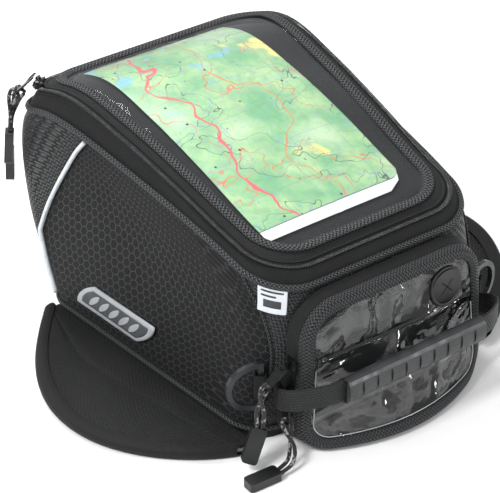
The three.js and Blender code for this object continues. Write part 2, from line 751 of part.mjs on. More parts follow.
// ---------------------------------------------------------------- zip sliders and pulls
const SLIDER = { width: 9, length: 12, height: 3, arch: 3.6 };
const PULL = { length: 27, width: 9, thickness: 1.4 };
const PLATE_OUT = 1.2;
const CORD_RADIUS = 1.8;
const END = { length: 32, width: 14, thickness: 8 };

// A slider with its zip along y and its face up along z, with a bail that arches along y.
function sliderGeometry() {
  const body = box(SLIDER.width, SLIDER.length, SLIDER.height, 0, 0, SLIDER.height / 2);
  const bail = new THREE.Shape();
  const half = SLIDER.length / 2 - 1;
  bail.moveTo(-half, 0);
  bail.lineTo(-half, SLIDER.arch - 1);
  bail.lineTo(-half + 1.5, SLIDER.arch);
  bail.lineTo(half - 1.5, SLIDER.arch);
  bail.lineTo(half, SLIDER.arch - 1);
  bail.lineTo(half, 0);
  bail.lineTo(half - 1.4, 0);
  bail.lineTo(half - 1.4, SLIDER.arch - 1.6);
  bail.lineTo(-half + 1.4, SLIDER.arch - 1.6);
  bail.lineTo(-half + 1.4, 0);
  bail.closePath();
  const arch = extrude(bail, 2.2).rotateX(Math.PI / 2).rotateZ(Math.PI / 2);
  arch.translate(0, 0, SLIDER.height - 0.3);
  return fromManifold(toManifold(body).add(toManifold(arch)));
}

// A pull plate that hangs from the bail's end along -y, with an eye for the cord.
function pullGeometry() {
  const shape = roundedPlate(PULL.width, PULL.length, 3);
  const eye = new THREE.Path();
  eye.moveTo(-2, PULL.length / 2 - 5);
  eye.lineTo(2, PULL.length / 2 - 5);
  eye.lineTo(2, PULL.length / 2 - 1.6);
  eye.lineTo(-2, PULL.length / 2 - 1.6);
  eye.closePath();
  shape.holes.push(eye);
  circleHole(shape, 0, -PULL.length / 2 + 4.4, 3);
  return extrude(shape, PULL.thickness).translate(0, -PULL.length / 2 + 2.6, 0);
}

function endGeometry() {
  const shape = roundedPlate(END.width, END.length, 3);
  return extrude(shape, END.thickness);
}

// Each puller: where its slider sits, which way its face and its zip point, where its plate
// points, and the hand-laid course of its cord from the plate's eye to the end piece.
const PULLERS = [
  {
    name: 'pocket_upper',
    at: [-105.5, -163.5, 93],
    face: [-1, 0, 0],
    zip: [0, 0, 1],
    lift: 1.3,
    plate: [-0.7, 0.15, -0.7],
    course: [[-5, 0.5, -7], [-7, 0, -24]],
    end: [-8, -0.5, -39],
    endDown: [-0.45, -0.08, -0.87],
    endFace: [-0.5, -0.8, 0.3],
  },
  {
    name: 'pocket_lower',
    at: [-105.5, -164, 62],
    face: [-1, 0, 0],
    zip: [0, 0, 1],
    lift: 0.8,
    plate: [-0.03, -0.12, -0.98],
    course: [[-1, -4, -8], [-2, -11, -20], [-8, -16, -31]],
    end: [-22, -17.5, -35.2],
    endDown: [-1, 0.05, 0],
    endFace: [0, 0, 1],
  },
  {
    name: 'lid_left',
    station: 6.75,
    lift: 3.6,
    plate: [-0.52, 0.52, -0.68],
    course: [[-3, 3, -8], [-5, 3, -24]],
    end: [-7, 3, -38],
    endDown: [-0.1, 0, -1],
    endFace: [-0.8, 0.55, 0],
  },
  {
    name: 'lid_rear',
    station: 6.45,
    lift: 3.6,
    plate: [-0.35, 0.5, -0.79],
    course: [[-3, 4, -9], [-8, 7, -32]],
    end: [-12, 7, -60],
    endDown: [-0.05, 0, -1],
    endFace: [-0.8, 0.55, 0],
  },
];

function basis(yAxis, zHint) {
  const y = yAxis.clone().normalize();
  const x = y.clone().cross(zHint).normalize();
  const z = x.clone().cross(y).normalize();
  return new THREE.Matrix4().makeBasis(x, y, z);
}

// A seat on the lid zip: the point, the way the zip runs and the way its surface faces.
function lidZipSeat(station) {
  const at = linePoint(ZIP_LINE, station, ZIP_PROFILE);
  const zip = linePoint(ZIP_LINE, station + 0.05, ZIP_PROFILE).sub(at).normalize();
  const inward = linePoint(WINDOW_LINE, station, ZIP_PROFILE, 5).sub(at);
  const face = zip.clone().cross(inward).normalize();
  return { at: at.addScaledVector(face, 3), zip, face };
}

function fixedSeat(spec) {
  return {
    at: new THREE.Vector3(...spec.at),
    zip: new THREE.Vector3(...spec.zip),
    face: new THREE.Vector3(...spec.face),
  };
}

function buildPuller(spec) {
  const { at, zip, face } = spec.station ? lidZipSeat(spec.station) : fixedSeat(spec);
  const slider = sliderGeometry().applyMatrix4(basis(zip, face)).translate(...at.toArray());
  addMesh(`${spec.name}_slider`, slider, 'metal');
  const away = new THREE.Vector3(...spec.plate).normalize();
  const plateTop = at.clone().addScaledVector(face, SLIDER.height + SLIDER.arch + spec.lift);
  plateTop.addScaledVector(away, PLATE_OUT + spec.lift);
  const turn = basis(away.clone().negate(), face);
  const plate = pullGeometry().applyMatrix4(turn).translate(...plateTop.toArray());
  addMesh(`${spec.name}_pull`, plate, 'metal');
  const over = new THREE.Vector3().setFromMatrixColumn(turn, 2);
  const eye = plateTop.clone().addScaledVector(away, PULL.length - 2.6 - 4.4);
  const down = new THREE.Vector3(...spec.endDown).normalize();
  const endTurn = basis(down.clone().negate(), new THREE.Vector3(...spec.endFace));
  const endSide = new THREE.Vector3().setFromMatrixColumn(endTurn, 0);
  const endTop = eye.clone().add(new THREE.Vector3(...spec.end));
  const strand = (side) => {
    const points = spec.course.map((step, i) => {
      const p = eye.clone().add(new THREE.Vector3(...step));
      return i === 0 ? p.addScaledVector(over, side * 3.4) : p.addScaledVector(endSide, side * 3.2);
    });
    points.push(endTop.clone().addScaledVector(endSide, side * 2.6).addScaledVector(down, -2 * GAP));
    return points;
  };
  const bend = 4.2;
  const around = [1, 0, -1].map((side) => eye.clone().addScaledVector(over, side * bend));
  const loop = [...strand(1).reverse(), ...around, ...strand(-1)];
  addMesh(`${spec.name}_cord`, tube(loop, CORD_RADIUS, false, 24), 'cord');
  const end = endGeometry().applyMatrix4(endTurn);
  end.translate(...endTop.clone().addScaledVector(down, END.length / 2).toArray());
  addMesh(`${spec.name}_end`, end, 'rubber');
}

// ---------------------------------------------------------------- assembly
buildWalls();
buildReflectivePiping();
buildBase();
buildZipTape();
buildHingeStrip();
const lid = new THREE.Group();
bag.add(lid);
buildLid(lid);
const cover = new THREE.Group();
bag.add(cover);
buildPocketGusset();
buildPocket(cover);
buildCablePort(cover);
buildPocketInside();
const handle = new THREE.Group();
bag.add(handle);
buildHandle(handle);
buildHandleAnchors();
buildRings();
buildFlap('left', -1);
buildFlap('right', 1);
buildBadges();
buildLabel();
for (const spec of PULLERS) buildPuller(spec);

export default bag;
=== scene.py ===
"""Motorcycle tank bag: fabric walls, clear map lid and pocket, handle, rings, flaps and zip pulls.

Lengths are written in millimetres, as on a pattern, and turned into metres where a mesh is made.
+X is the rider's right, +Y the handlebars and +Z up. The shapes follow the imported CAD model.
"""

import math

import bpy
import numpy as np
from mathutils import Matrix, Vector


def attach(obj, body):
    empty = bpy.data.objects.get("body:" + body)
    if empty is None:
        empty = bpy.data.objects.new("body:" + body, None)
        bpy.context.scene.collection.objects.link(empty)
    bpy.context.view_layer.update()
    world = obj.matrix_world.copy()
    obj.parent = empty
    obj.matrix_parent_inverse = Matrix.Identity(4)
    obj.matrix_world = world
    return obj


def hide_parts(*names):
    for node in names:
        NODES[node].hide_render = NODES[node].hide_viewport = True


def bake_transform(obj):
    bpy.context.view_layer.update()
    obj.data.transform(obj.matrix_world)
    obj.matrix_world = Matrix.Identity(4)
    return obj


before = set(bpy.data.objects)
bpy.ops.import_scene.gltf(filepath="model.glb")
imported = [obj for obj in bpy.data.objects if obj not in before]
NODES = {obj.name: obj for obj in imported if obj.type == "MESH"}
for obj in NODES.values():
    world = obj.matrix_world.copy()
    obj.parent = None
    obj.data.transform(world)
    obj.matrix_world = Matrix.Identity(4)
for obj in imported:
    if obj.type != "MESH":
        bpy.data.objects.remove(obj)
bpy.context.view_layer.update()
MM = 0.001
SIDES = (("left", -1), ("right", 1))


# ------------------------------------------------------------------ camera
CAMERA_AZIMUTH = math.radians(-37.7)
CAMERA_ELEVATION = math.radians(32.0)
CAMERA_DISTANCE = 2.0
CAMERA_LENS = 160.1  # on the default 36 mm sensor


def camera_axes(azimuth, elevation):
    flat = math.cos(elevation)
    back = Vector((math.sin(azimuth) * flat, -math.cos(azimuth) * flat, math.sin(elevation)))
    right = Vector((math.cos(azimuth), math.sin(azimuth), 0))
    return right, back.cross(right), back


def make_camera():
    right, up, back = camera_axes(CAMERA_AZIMUTH, CAMERA_ELEVATION)
    target = Vector((0, -0.033, 0.09)) - right * 0.0387 + up * 0.0108
    camera = bpy.data.objects.new("camera", bpy.data.cameras.new("camera"))
    bpy.context.scene.collection.objects.link(camera)
    camera.data.lens = CAMERA_LENS
    turn = Matrix((right, up, back)).transposed().to_4x4()
    camera.matrix_world = Matrix.Translation(target + back * CAMERA_DISTANCE) @ turn
    bpy.context.scene.camera = camera


make_camera()

# ------------------------------------------------------------------ dimensions, as in the CAD model
BASE_Z = 14
BASE_LINE = dict(front=-141, back=168, front_half=130, back_half=142, front_r=34, back_r=38)
RIM_LINE = dict(front=-149, back=209, front_half=118, back_half=136, front_r=46, back_r=38)
ZIP_LINE = dict(front=-142, back=198, front_half=110, back_half=129, front_r=44, back_r=34)
WINDOW_LINE = dict(front=-123, back=178, front_half=91, back_half=109, front_r=34, back_r=26)
POCKET = dict(front=4, back=142, front_half=103, back_half=97, front_r=26, back_r=32)
RIM_PROFILE = ((-149, 151), (-68, 173), (35, 192), (140, 203), (209, 188))
ZIP_PROFILE = ((-142, 164), (-79, 178), (-10, 198), (60, 215), (131, 225), (198, 208))
LID_CROWN = 7
FRONT_BULGE = ((0, 0), (0.3, -6), (0.6, -8), (0.85, -5), (1, 0))
BACK_BULGE = ((0, 0), (0.2, 10), (0.45, 18), (0.72, 20), (0.9, 12), (1, 0))
SIDE_BULGE = 4
CORNER_SEAM = ((0, 1.5), (0.5, 1.42), (0.8, 1.6), (1, 1.92))
PIPING_SEAM = ((0, 3.2), (0.25, 3.06), (0.5, 2.93), (0.75, 2.81), (1, 2.72))
POCKET_EDGE_Y = -170
POCKET_SWELL = 35
POCKET_ZIP_Y = -163
BINDING_WIDTH = 9
FOLD_Z = 90
GRIP_Y, GRIP_Z, GRIP_HALF = -199, 72, 77
FLAP_REACH = 96
FLAP_CROWN_Y = -15
FLAP_ENDS = (-141, 142)
FLAP_HINGE_Z = 5.6
FLAP_REST = {"left": 0, "right": 17}
FLAP_ROOT = 7
PORT_X, PORT_Z, PORT_RADIUS = 57, 110, 17
BADGE = dict(y=48, z=44, length=99, height=27, slant=26)
PANEL_THICK = 3.2
TAPE_THICK = 1.8
VINYL_THICK = 0.8
LABEL_THICK = 0.8
FLAP_THICK = 5.8
WEBBING_WIDTH, WEBBING_THICK = 21, 1.9
MAP_WIDTH, MAP_LENGTH = 158, 273
RING_POINTS = 260  # on a closed seam round the bag


# ------------------------------------------------------------------ curves and outlines
def profile(points, x):
    """Smooth interpolation through (x, y) pairs sorted by x."""
    last = len(points) - 1
    if x <= points[0][0]:
        return points[0][1]
    if x >= points[last][0]:
        return points[last][1]
    i = 0
    while x > points[i + 1][0]:
        i += 1

    def slope(a, b):
        return (points[b][1] - points[a][1]) / (points[b][0] - points[a][0])

    x0, y0 = points[i]
    x1, y1 = points[i + 1]
    m0 = slope(max(i - 1, 0), i + 1)
    m1 = slope(i, min(i + 2, last))
    h = x1 - x0
    t = (x - x0) / h
    return (
        y0 * (2 * t**3 - 3 * t**2 + 1)
        + y1 * (3 * t**2 - 2 * t**3)
        + h * (m0 * (t**3 - 2 * t**2 + t) + m1 * (t**3 - t**2))
    )


def mix(a, b, t):
    return a + (b - a) * t


def outline_point(line, station):
    """A point on a rounded outline: five stations to a side, anticlockwise from the rider's end."""
    wrapped = station % 10
    mirrored = wrapped > 5
    s = 10 - wrapped if mirrored else wrapped
    front_x = line["front_half"] - line["front_r"]
    back_x = line["back_half"] - line["back_r"]
    front_y = line["front"] + line["front_r"]
    back_y = line["back"] - line["back_r"]
    if s <= 1:
        x, y = front_x * s, line["front"]
    elif s <= 2:
        a = (s - 1) * math.pi / 2
        x = front_x + line["front_r"] * math.sin(a)
        y = front_y - line["front_r"] * math.cos(a)
    elif s <= 3:
        x = mix(line["front_half"], line["back_half"], s - 2)
        y = mix(front_y, back_y, s - 2)
    elif s <= 4:
        a = (s - 3) * math.pi / 2
        x = back_x + line["back_r"] * math.cos(a)
        y = back_y + line["back_r"] * math.sin(a)
    else:
        x, y = back_x * (5 - s), line["back"]
    return (-x if mirrored else x), y


def mix_lines(a, b, t):
    return {key: mix(a[key], b[key], t) for key in a}


def inset(line, d):
    return dict(
        front=line["front"] + d,
        back=line["back"] - d,
        front_half=line["front_half"] - d,
        back_half=line["back_half"] - d,
        front_r=max(line["front_r"] - d, 2),
        back_r=max(line["back_r"] - d, 2),
    )


def half_width(line, along):
    t = min(max((along - line["front"]) / (line["back"] - line["front"]), 0), 1)

    def corner(distance, r):
        return r - math.sqrt(max(r * r - (r - distance) ** 2, 0)) if distance < r else 0

    half = mix(line["front_half"], line["back_half"], t)
    front_cut = corner(along - line["front"], line["front_r"])
    return half - front_cut - corner(line["back"] - along, line["back_r"])


def wall_point(station, v):
    level = mix_lines(BASE_LINE, RIM_LINE, v)
    level["front"] += profile(FRONT_BULGE, v)
    level["back"] += profile(BACK_BULGE, v)
    side = SIDE_BULGE * math.sin(math.pi * v)
    level["front_half"] += side
    level["back_half"] += side
    x, y = outline_point(level, station)
    top = profile(RIM_PROFILE, outline_point(RIM_LINE, station)[1])
    return np.array((x, y, mix(BASE_Z, top, v)))


def line_point(line, station, side_profile, rise=0.0):
    x, y = outline_point(line, station)
    return np.array((x, y, profile(side_profile, y) + rise))


def lid_height(x, y):
    along = (y - WINDOW_LINE["front"]) / (WINDOW_LINE["back"] - WINDOW_LINE["front"])
    dome = max(0, 4 * along * (1 - along)) * max(0, 1 - (x / 107) ** 2)
    return profile(ZIP_PROFILE, y) + 5 + LID_CROWN * dome


def pocket_face_y(x, z):
    drop = min(max((POCKET["back"] - z) / (POCKET["back"] - POCKET["front"]), 0), 1)
    across = min(max(1 - (x / POCKET["front_half"]) ** 2, 0), 1)
    return POCKET_EDGE_Y - POCKET_SWELL * across * drop**1.6


def pocket_point(line, station, depth):
    x, z = outline_point(line, station)
    return np.array((x, depth(x, z), z))


def rider_wall_y(x, z):
    v = min(max((z - BASE_Z) / 137, 0), 1)
    level = mix_lines(BASE_LINE, RIM_LINE, v)
    front = level["front"] + profile(FRONT_BULGE, v)
    over = abs(x) - (level["front_half"] - level["front_r"])
    r = level["front_r"]
    return front + (r - math.sqrt(max(r * r - over * over, 0)) if over > 0 else 0)


def flap_reach(y):
    rearward = y > FLAP_CROWN_Y
    end = FLAP_ENDS[1] + 8 if rearward else FLAP_ENDS[0] - 3
    t = (y - FLAP_CROWN_Y) / (end - FLAP_CROWN_Y)
    return 6 + FLAP_REACH * max(1 - t * t, 0) ** (1.1 if rearward else 0.75)


def unit(v):
    v = np.array(v, float)
    return v / np.linalg.norm(v)


def arc_lengths(points):
    """How far along its line each point lies."""
    return np.concatenate(([0], np.cumsum(np.linalg.norm(np.diff(points, axis=0), axis=1))))


def along_line(points, at):
    """Points at the given distances along a line."""
    run = arc_lengths(points)
    return np.stack([np.interp(at, run, points[:, k]) for k in range(3)], axis=-1)


def catmull(points, samples):
    """Evenly spaced samples of a smooth curve through points."""
    pts = [np.array(p, float) for p in points]
    ring = [2 * pts[0] - pts[1], *pts, 2 * pts[-1] - pts[-2]]
    dense = []
    for a, b, c, d in zip(ring, ring[1:], ring[2:], ring[3:]):
        square = 2 * a - 5 * b + 4 * c - d
        cube = 3 * b - a - 3 * c + d
        for k in range(12):
            t = k / 12
            dense.append(0.5 * (2 * b + (c - a) * t + square * t**2 + cube * t**3))
    dense.append(pts[-1])
    dense = np.array(dense)
    return along_line(dense, np.linspace(0, arc_lengths(dense)[-1], samples))


def ring_points(place_at, count=RING_POINTS):
    """Points round an outline's ten stations."""
    return [place_at(10 * i / count) for i in range(count)]


# ------------------------------------------------------------------ mesh building
def place(name, vertices, faces, corner_uv, material):
    """A mesh object from millimetre vertices and one (u, v) in metres for each face corner."""
    mesh = bpy.data.meshes.new(name)
    mesh.from_pydata((np.array(vertices) * MM).tolist(), [], faces)
    layer = mesh.uv_layers.new(name="UVMap")
    layer.data.foreach_set("uv", np.array(corner_uv, float).ravel())
    mesh.validate()
    mesh.polygons.foreach_set("use_smooth", [True] * len(mesh.polygons))
    obj = bpy.data.objects.new(name, mesh)
    bpy.context.scene.collection.objects.link(obj)
    mesh.materials.append(material)
    return obj


def fit(obj, body, nodes=()):
    """Puts a piece on its body, in place of the CAD nodes it stands for."""
    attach(obj, body)
    if nodes:
        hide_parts(*nodes)
    return obj


def grid_normals(points, ring):
    if ring:
        du = np.roll(points, -1, axis=1) - np.roll(points, 1, axis=1)
    else:
        du = np.gradient(points, axis=1)
    normals = np.cross(du, np.gradient(points, axis=0))
    return normals / (np.linalg.norm(normals, axis=2, keepdims=True) + 1e-9)


def sheet_rims(columns, rows, ring):
    """The grid corners round a sheet's open edges, each in order."""
    if ring:
        return [[(i, 0) for i in range(columns, -1, -1)], [(i, rows) for i in range(columns + 1)]]
    loop = [(i, 0) for i in range(columns, 0, -1)]
    loop += [(0, j) for j in range(rows)]
    loop += [(i, rows) for i in range(columns)]
    loop += [(columns, j) for j in range(rows, 0, -1)]
    return [[*loop, loop[0]]]


def sheet(name, at, columns, rows, thickness, material, ring=False, relief=None, round_edge=True):
    """A closed sheet under the surface at(u, v), lying on the side its normal points away from."""
    count = columns if ring else columns + 1
    grid = np.array([[at(i / columns, j / rows) for i in range(count)] for j in range(rows + 1)], float)
    normals = grid_normals(grid, ring)
    if relief is not None:
        lift = [[relief(i / columns, j / rows) for i in range(count)] for j in range(rows + 1)]
        grid = grid + normals * np.array(lift)[..., None]
        normals = grid_normals(grid, ring)
    wrapped = np.concatenate([grid, grid[:, :1]], axis=1) if ring else grid
    u_run = arc_lengths(wrapped[rows // 2]) * MM
    v_run = arc_lengths(wrapped[:, columns // 2]) * MM
    outer = grid.reshape(-1, 3)
    inner = (grid - normals * thickness).reshape(-1, 3)
    middle = (grid - normals * thickness / 2).reshape(-1, 3)
    size = len(outer)
    faces, uvs, bulge = [], [], []

    def corner(i, j):
        return j * count + (i % columns if ring else i)

    def uv(i, j):
        return u_run[i], v_run[j]

    def bulged(i, j):
        """The middle of the sheet's edge, pushed out so that the edge is round."""
        inside = corner(i if ring else min(max(i, 1), columns - 1), min(max(j, 1), rows - 1))
        out = outer[corner(i, j)] - outer[inside]
        span = np.linalg.norm(out)
        push = out / span * thickness * 0.4 if span > 1e-6 else np.zeros(3)
        return middle[corner(i, j)] + push

    for j in range(rows):
        for i in range(columns):
            cell = ((i, j), (i + 1, j), (i + 1, j + 1), (i, j + 1))
            faces.append([corner(*c) for c in cell])
            uvs.extend(uv(*c) for c in cell)
            faces.append([corner(*c) + size for c in reversed(cell)])
            uvs.extend(uv(*c) for c in reversed(cell))
    for rim in sheet_rims(columns, rows, ring):
        outward = {}
        for c in rim if round_edge else ():
            if corner(*c) not in outward:
                outward[corner(*c)] = size * 2 + len(bulge)
                bulge.append(bulged(*c))
        for first, second in zip(rim, rim[1:]):
            a, b = corner(*first), corner(*second)
            bands = [[a, b, b + size, a + size]]
            if round_edge:
                bands = [[a, b, outward[b], outward[a]], [outward[a], outward[b], b + size, a + size]]
            for band in bands:
                faces.append(band)
                uvs.extend((uv(*first), uv(*second), uv(*second), uv(*first)))
    vertices = [outer, inner, np.array(bulge)] if bulge else [outer, inner]
    return place(name, np.concatenate(vertices), faces, uvs, material)


def sweep(name, points, radii, material, closed=False, sides=10, up=(0, 0, 1)):
    """A tube of elliptical section: radii are (across, along up)."""
    pts = np.array(points, float)
    count = len(pts)
    tangent = np.roll(pts, -1, axis=0) - np.roll(pts, 1, axis=0) if closed else np.gradient(pts, axis=0)
    tangent /= np.linalg.norm(tangent, axis=1, keepdims=True)
    up = np.array(up, float) * np.ones((count, 1)) if np.ndim(up) == 1 else np.array(up, float)
    across = np.cross(tangent, up)
    across /= np.linalg.norm(across, axis=1, keepdims=True)
    over = np.cross(across, tangent)
    rings = []
    for k in range(sides):
        a = 2 * math.pi * k / sides
        rings.append(pts + across * radii[0] * math.cos(a) + over * radii[1] * math.sin(a))
    vertices = np.stack(rings, axis=1).reshape(-1, 3)
    run = arc_lengths(np.concatenate([pts, pts[:1]])) * MM
    girth = math.pi * (radii[0] + radii[1]) * MM
    faces, uvs = [], []
    for i in range(count if closed else count - 1):
        for k in range(sides):
            a, b = i * sides, ((i + 1) % count) * sides
            faces.append([a + k, b + k, b + (k + 1) % sides, a + (k + 1) % sides])
            v0, v1 = girth * k / sides, girth * (k + 1) / sides
            uvs.extend(((run[i], v0), (run[i + 1], v0), (run[i + 1], v1), (run[i], v1)))
    if not closed:
        first, last = list(range(sides)), [(count - 1) * sides + k for k in range(sides)]
        faces.extend((first, last[::-1]))
        uvs.extend([(0, 0)] * (2 * sides))
    return place(name, vertices, faces, uvs, material)


def coil(name, points, radius, pitch, wire, material):
    """A zip's coil: a fine helix round a closed line."""
    per_turn = 7
    pts = np.array([*points, points[0]], float)
    length = arc_lengths(pts)[-1]
    turns = int(length / pitch)
    line = along_line(pts, np.linspace(0, length, turns * per_turn + 1)[:-1])
    tangent = np.roll(line, -1, axis=0) - np.roll(line, 1, axis=0)
    tangent /= np.linalg.norm(tangent, axis=1, keepdims=True)
    across = np.cross(tangent, (0.0, 0.3, 1.0))
    across /= np.linalg.norm(across, axis=1, keepdims=True)
    over = np.cross(across, tangent)
    angle = (2 * math.pi * np.arange(len(line)) / per_turn)[:, None]
    helix = line + across * radius[0] * np.cos(angle) + over * radius[1] * np.sin(angle)
    return sweep(name, helix, (wire, wire), material, True, 5, over)


# ------------------------------------------------------------------ materials
class Shade:
    """A Principled material built from node calls, with its pattern in metres.

    The pattern lies on the UV map, or in space for a piece that has none.
    """

    def __init__(self, name, object_space=False, **sockets):
        self.material = bpy.data.materials.new(name)
        self.material.use_nodes = True
        self.tree = self.material.node_tree
        self.shader = self.tree.nodes["Principled BSDF"]
        for socket, value in sockets.items():
            self.shader.inputs[socket.replace("_", " ")].default_value = value
        coordinates = self.tree.nodes.new("ShaderNodeTexCoord")
        self.uv = coordinates.outputs["Object" if object_space else "UV"]

    def node(self, kind, inputs=(), output=0, **settings):
        made = self.tree.nodes.new(kind)
        for key, value in settings.items():
            setattr(made, key, value)
        for key, value in dict(inputs).items():
            if isinstance(value, bpy.types.NodeSocket):
                self.tree.links.new(value, made.inputs[key])
            else:
                made.inputs[key].default_value = value
        return made.outputs[output]

    def math(self, operation, *values):
        return self.node("ShaderNodeMath", enumerate(values), operation=operation)

    def vector(self, operation, *values, output=0):
        return self.node("ShaderNodeVectorMath", enumerate(values), output, operation=operation)

    def axes(self, coordinate):
        split = self.tree.nodes.new("ShaderNodeSeparateXYZ")
        self.tree.links.new(coordinate, split.inputs[0])
        return split.outputs

    def span(self, value, low, high, start=0.0, end=1.0):
        keys = {"Value": value, "From Min": low, "From Max": high, "To Min": start, "To Max": end}
        return self.node("ShaderNodeMapRange", keys, clamp=True)

    def noise(self, scale, detail=3.0, distortion=0.0):
        keys = {"Vector": self.uv, "Scale": scale, "Detail": detail, "Distortion": distortion}
        return self.node("ShaderNodeTexNoise", keys)

    def blend(self, factor, a, b):
        keys = {0: factor, 6: a, 7: b}
        return self.node("ShaderNodeMix", keys, 2, data_type="RGBA")

    def turned(self, angle):
        return self.node("ShaderNodeMapping", {"Vector": self.uv, "Rotation": (0, 0, angle)})

    def weave(self, pitch, stretch=1.0, coordinate=None):
        """A plain weave: yarns along u and v that pass over each other, as a height from 0 to 1."""
        x, y, _ = self.axes(coordinate or self.uv)
        a = self.math("SINE", self.math("MULTIPLY", x, math.pi / pitch))
        b = self.math("SINE", self.math("MULTIPLY", y, math.pi / (pitch * stretch)))
        over = self.math("GREATER_THAN", self.math("MULTIPLY", a, b), 0.0)
        warp = self.math("MULTIPLY", over, self.math("ABSOLUTE", a))
        under = self.math("SUBTRACT", 1.0, over)
        return self.math("ADD", warp, self.math("MULTIPLY", under, self.math("ABSOLUTE", b)))

    def bump(self, height, distance, strength=1.0):
        keys = {"Height": height, "Distance": distance, "Strength": strength}
        self.tree.links.new(self.node("ShaderNodeBump", keys), self.shader.inputs["Normal"])

    def colour(self, socket):
        self.tree.links.new(socket, self.shader.inputs["Base Color"])

    def rough(self, socket):
        self.tree.links.new(socket, self.shader.inputs["Roughness"])


def grey(value, tint=(1.0, 1.0, 1.0)):
    return (value * tint[0], value * tint[1], value * tint[2], 1)


COOL = (0.95, 1.0, 1.06)
CLOTH = dict(Sheen_Weight=0.03, Sheen_Roughness=0.5)


def woven(name, dark, light, pitch, depth, shine, stretch=1.0):
    """Woven synthetic cloth: dark gaps painted as shade, paler yarn tops painted as a highlight that also
    shine a little, faint wear.
    """
    s = Shade(name, **CLOTH, Specular_IOR_Level=0.3)
    height = s.weave(pitch, stretch)
    patch = s.span(s.noise(18), 0.35, 0.7, 0.0, 0.35)
    # Painted highlight and shade: the yarn tops are coloured lighter and the gaps darker by the weave's
    # height; the noise patch adds faint wear.
    top = s.math("ADD", s.span(height, 0.45, 1.0), patch)
    s.colour(s.blend(top, grey(dark, COOL), grey(light, COOL)))
    s.rough(s.span(height, 0.3, 1.0, shine[0], shine[1]))
    fuzz = s.math("MULTIPLY", s.noise(1500, 2), 0.25)
    s.bump(s.math("ADD", height, fuzz), depth)
    return s.material


def hex_cloth(name, width):
    """Cloth with a raised grid of hexagons, drawn by thin paler lines."""
    s = Shade(name, **CLOTH, Specular_IOR_Level=0.25)
    corner = (0.5, math.sqrt(3) / 2, 0)
    cell = (1.0, math.sqrt(3), 1.0)
    p = s.vector("MULTIPLY", s.uv, (1 / width, 1 / width, 0))

    def edge(start):
        """How near a point is to the edge of its hexagon, in one of the two grids of centres."""
        away = s.vector("ABSOLUTE", s.vector("SUBTRACT", s.vector("WRAP", start, cell, (0, 0, 0)), corner))
        lean = s.vector("DOT_PRODUCT", away, corner, output=1)
        return s.math("MAXIMUM", s.axes(away)[0], lean)

    near = s.math("MINIMUM", edge(p), edge(s.vector("SUBTRACT", p, corner)))
    line = s.span(near, 0.425, 0.475)
    fine = s.weave(0.0011)
    shade = s.math("MULTIPLY", s.span(s.noise(22), 0.3, 0.7), 0.4)
    # Painted highlight: the fine weave's yarn tops are a little lighter than its gaps; the noise term only
    # varies the tone at random.
    yarn = s.math("ADD", s.math("MULTIPLY", fine, 0.5), shade)
    ground = s.blend(yarn, grey(0.0015, COOL), grey(0.006, COOL))
    s.colour(s.blend(s.math("MULTIPLY", line, 0.8), ground, grey(0.040, COOL)))
    s.rough(s.span(line, 0, 1, 0.72, 0.5))
    s.bump(s.math("ADD", s.math("MULTIPLY", line, 0.8), s.math("MULTIPLY", fine, 0.35)), 0.0004)
    return s.material


def braid(name, dark, light, pitch, depth=0.0006):
    """Braided or knitted mesh edging: diagonal strands painted paler on their tops as a highlight, with
    painted shade for the dark holes between them.
    """
    s = Shade(name, **CLOTH, Specular_IOR_Level=0.25)
    height = s.weave(pitch, coordinate=s.turned(math.radians(45)))
    # Painted highlight on the strand tops and painted shade in the hollows between them, set by the
    # strands' height.
    top = s.span(height, 0.55, 1.0)
    s.colour(s.blend(top, grey(dark), grey(light, COOL)))
    s.rough(s.span(height, 0.2, 1.0, 0.85, 0.42))
    s.bump(height, depth)
    return s.material


def clear_vinyl(name, haze, ripple, shine, tone, ior):
    """Soft clear sheet: see-through face on, mirror-like at a slant, with slow ripples."""
    s = Shade(name, Roughness=0.07, IOR=ior)
    tree = s.tree
    s.shader.inputs["Base Color"].default_value = grey(tone, COOL)
    wave = s.math("ADD", s.noise(13, 2, distortion=0.8), s.math("MULTIPLY", s.noise(38, 2), 0.15))
    normal = s.node("ShaderNodeBump", {"Height": wave, "Distance": ripple, "Strength": 1.0})
    tree.links.new(normal, s.shader.inputs["Normal"])
    facing = s.node("ShaderNodeLayerWeight", {"Blend": 0.5, "Normal": normal}, 1)
    slant = s.math("POWER", facing, 3.0)
    share = s.math("MINIMUM", s.math("ADD", s.math("MULTIPLY", slant, shine), haze), 0.8)
    clear = s.node("ShaderNodeBsdfTransparent", {"Color": (0.985, 0.99, 0.99, 1)})
    mixed = s.node("ShaderNodeMixShader", {0: share, 1: clear, 2: s.shader.outputs[0]})
    tree.links.new(mixed, tree.nodes["Material Output"].inputs["Surface"])
    return s.material


def moulded(name, base, roughness, grain=900, depth=0.00008, metallic=0.0, spread=0.35, tint=COOL):
    """Moulded rubber, plastic or painted metal with a fine grain and slight wear."""
    s = Shade(name, object_space=True, Metallic=metallic)
    wear = s.span(s.noise(60, 4), 0.35, 0.75)
    s.colour(s.blend(wear, grey(base * (1 - spread), tint), grey(base * (1 + spread), tint)))
    s.rough(s.span(s.noise(140, 3), 0.3, 0.7, roughness * 0.85, min(roughness * 1.25, 1)))
    s.bump(s.noise(grain, 2), depth)
    return s.material


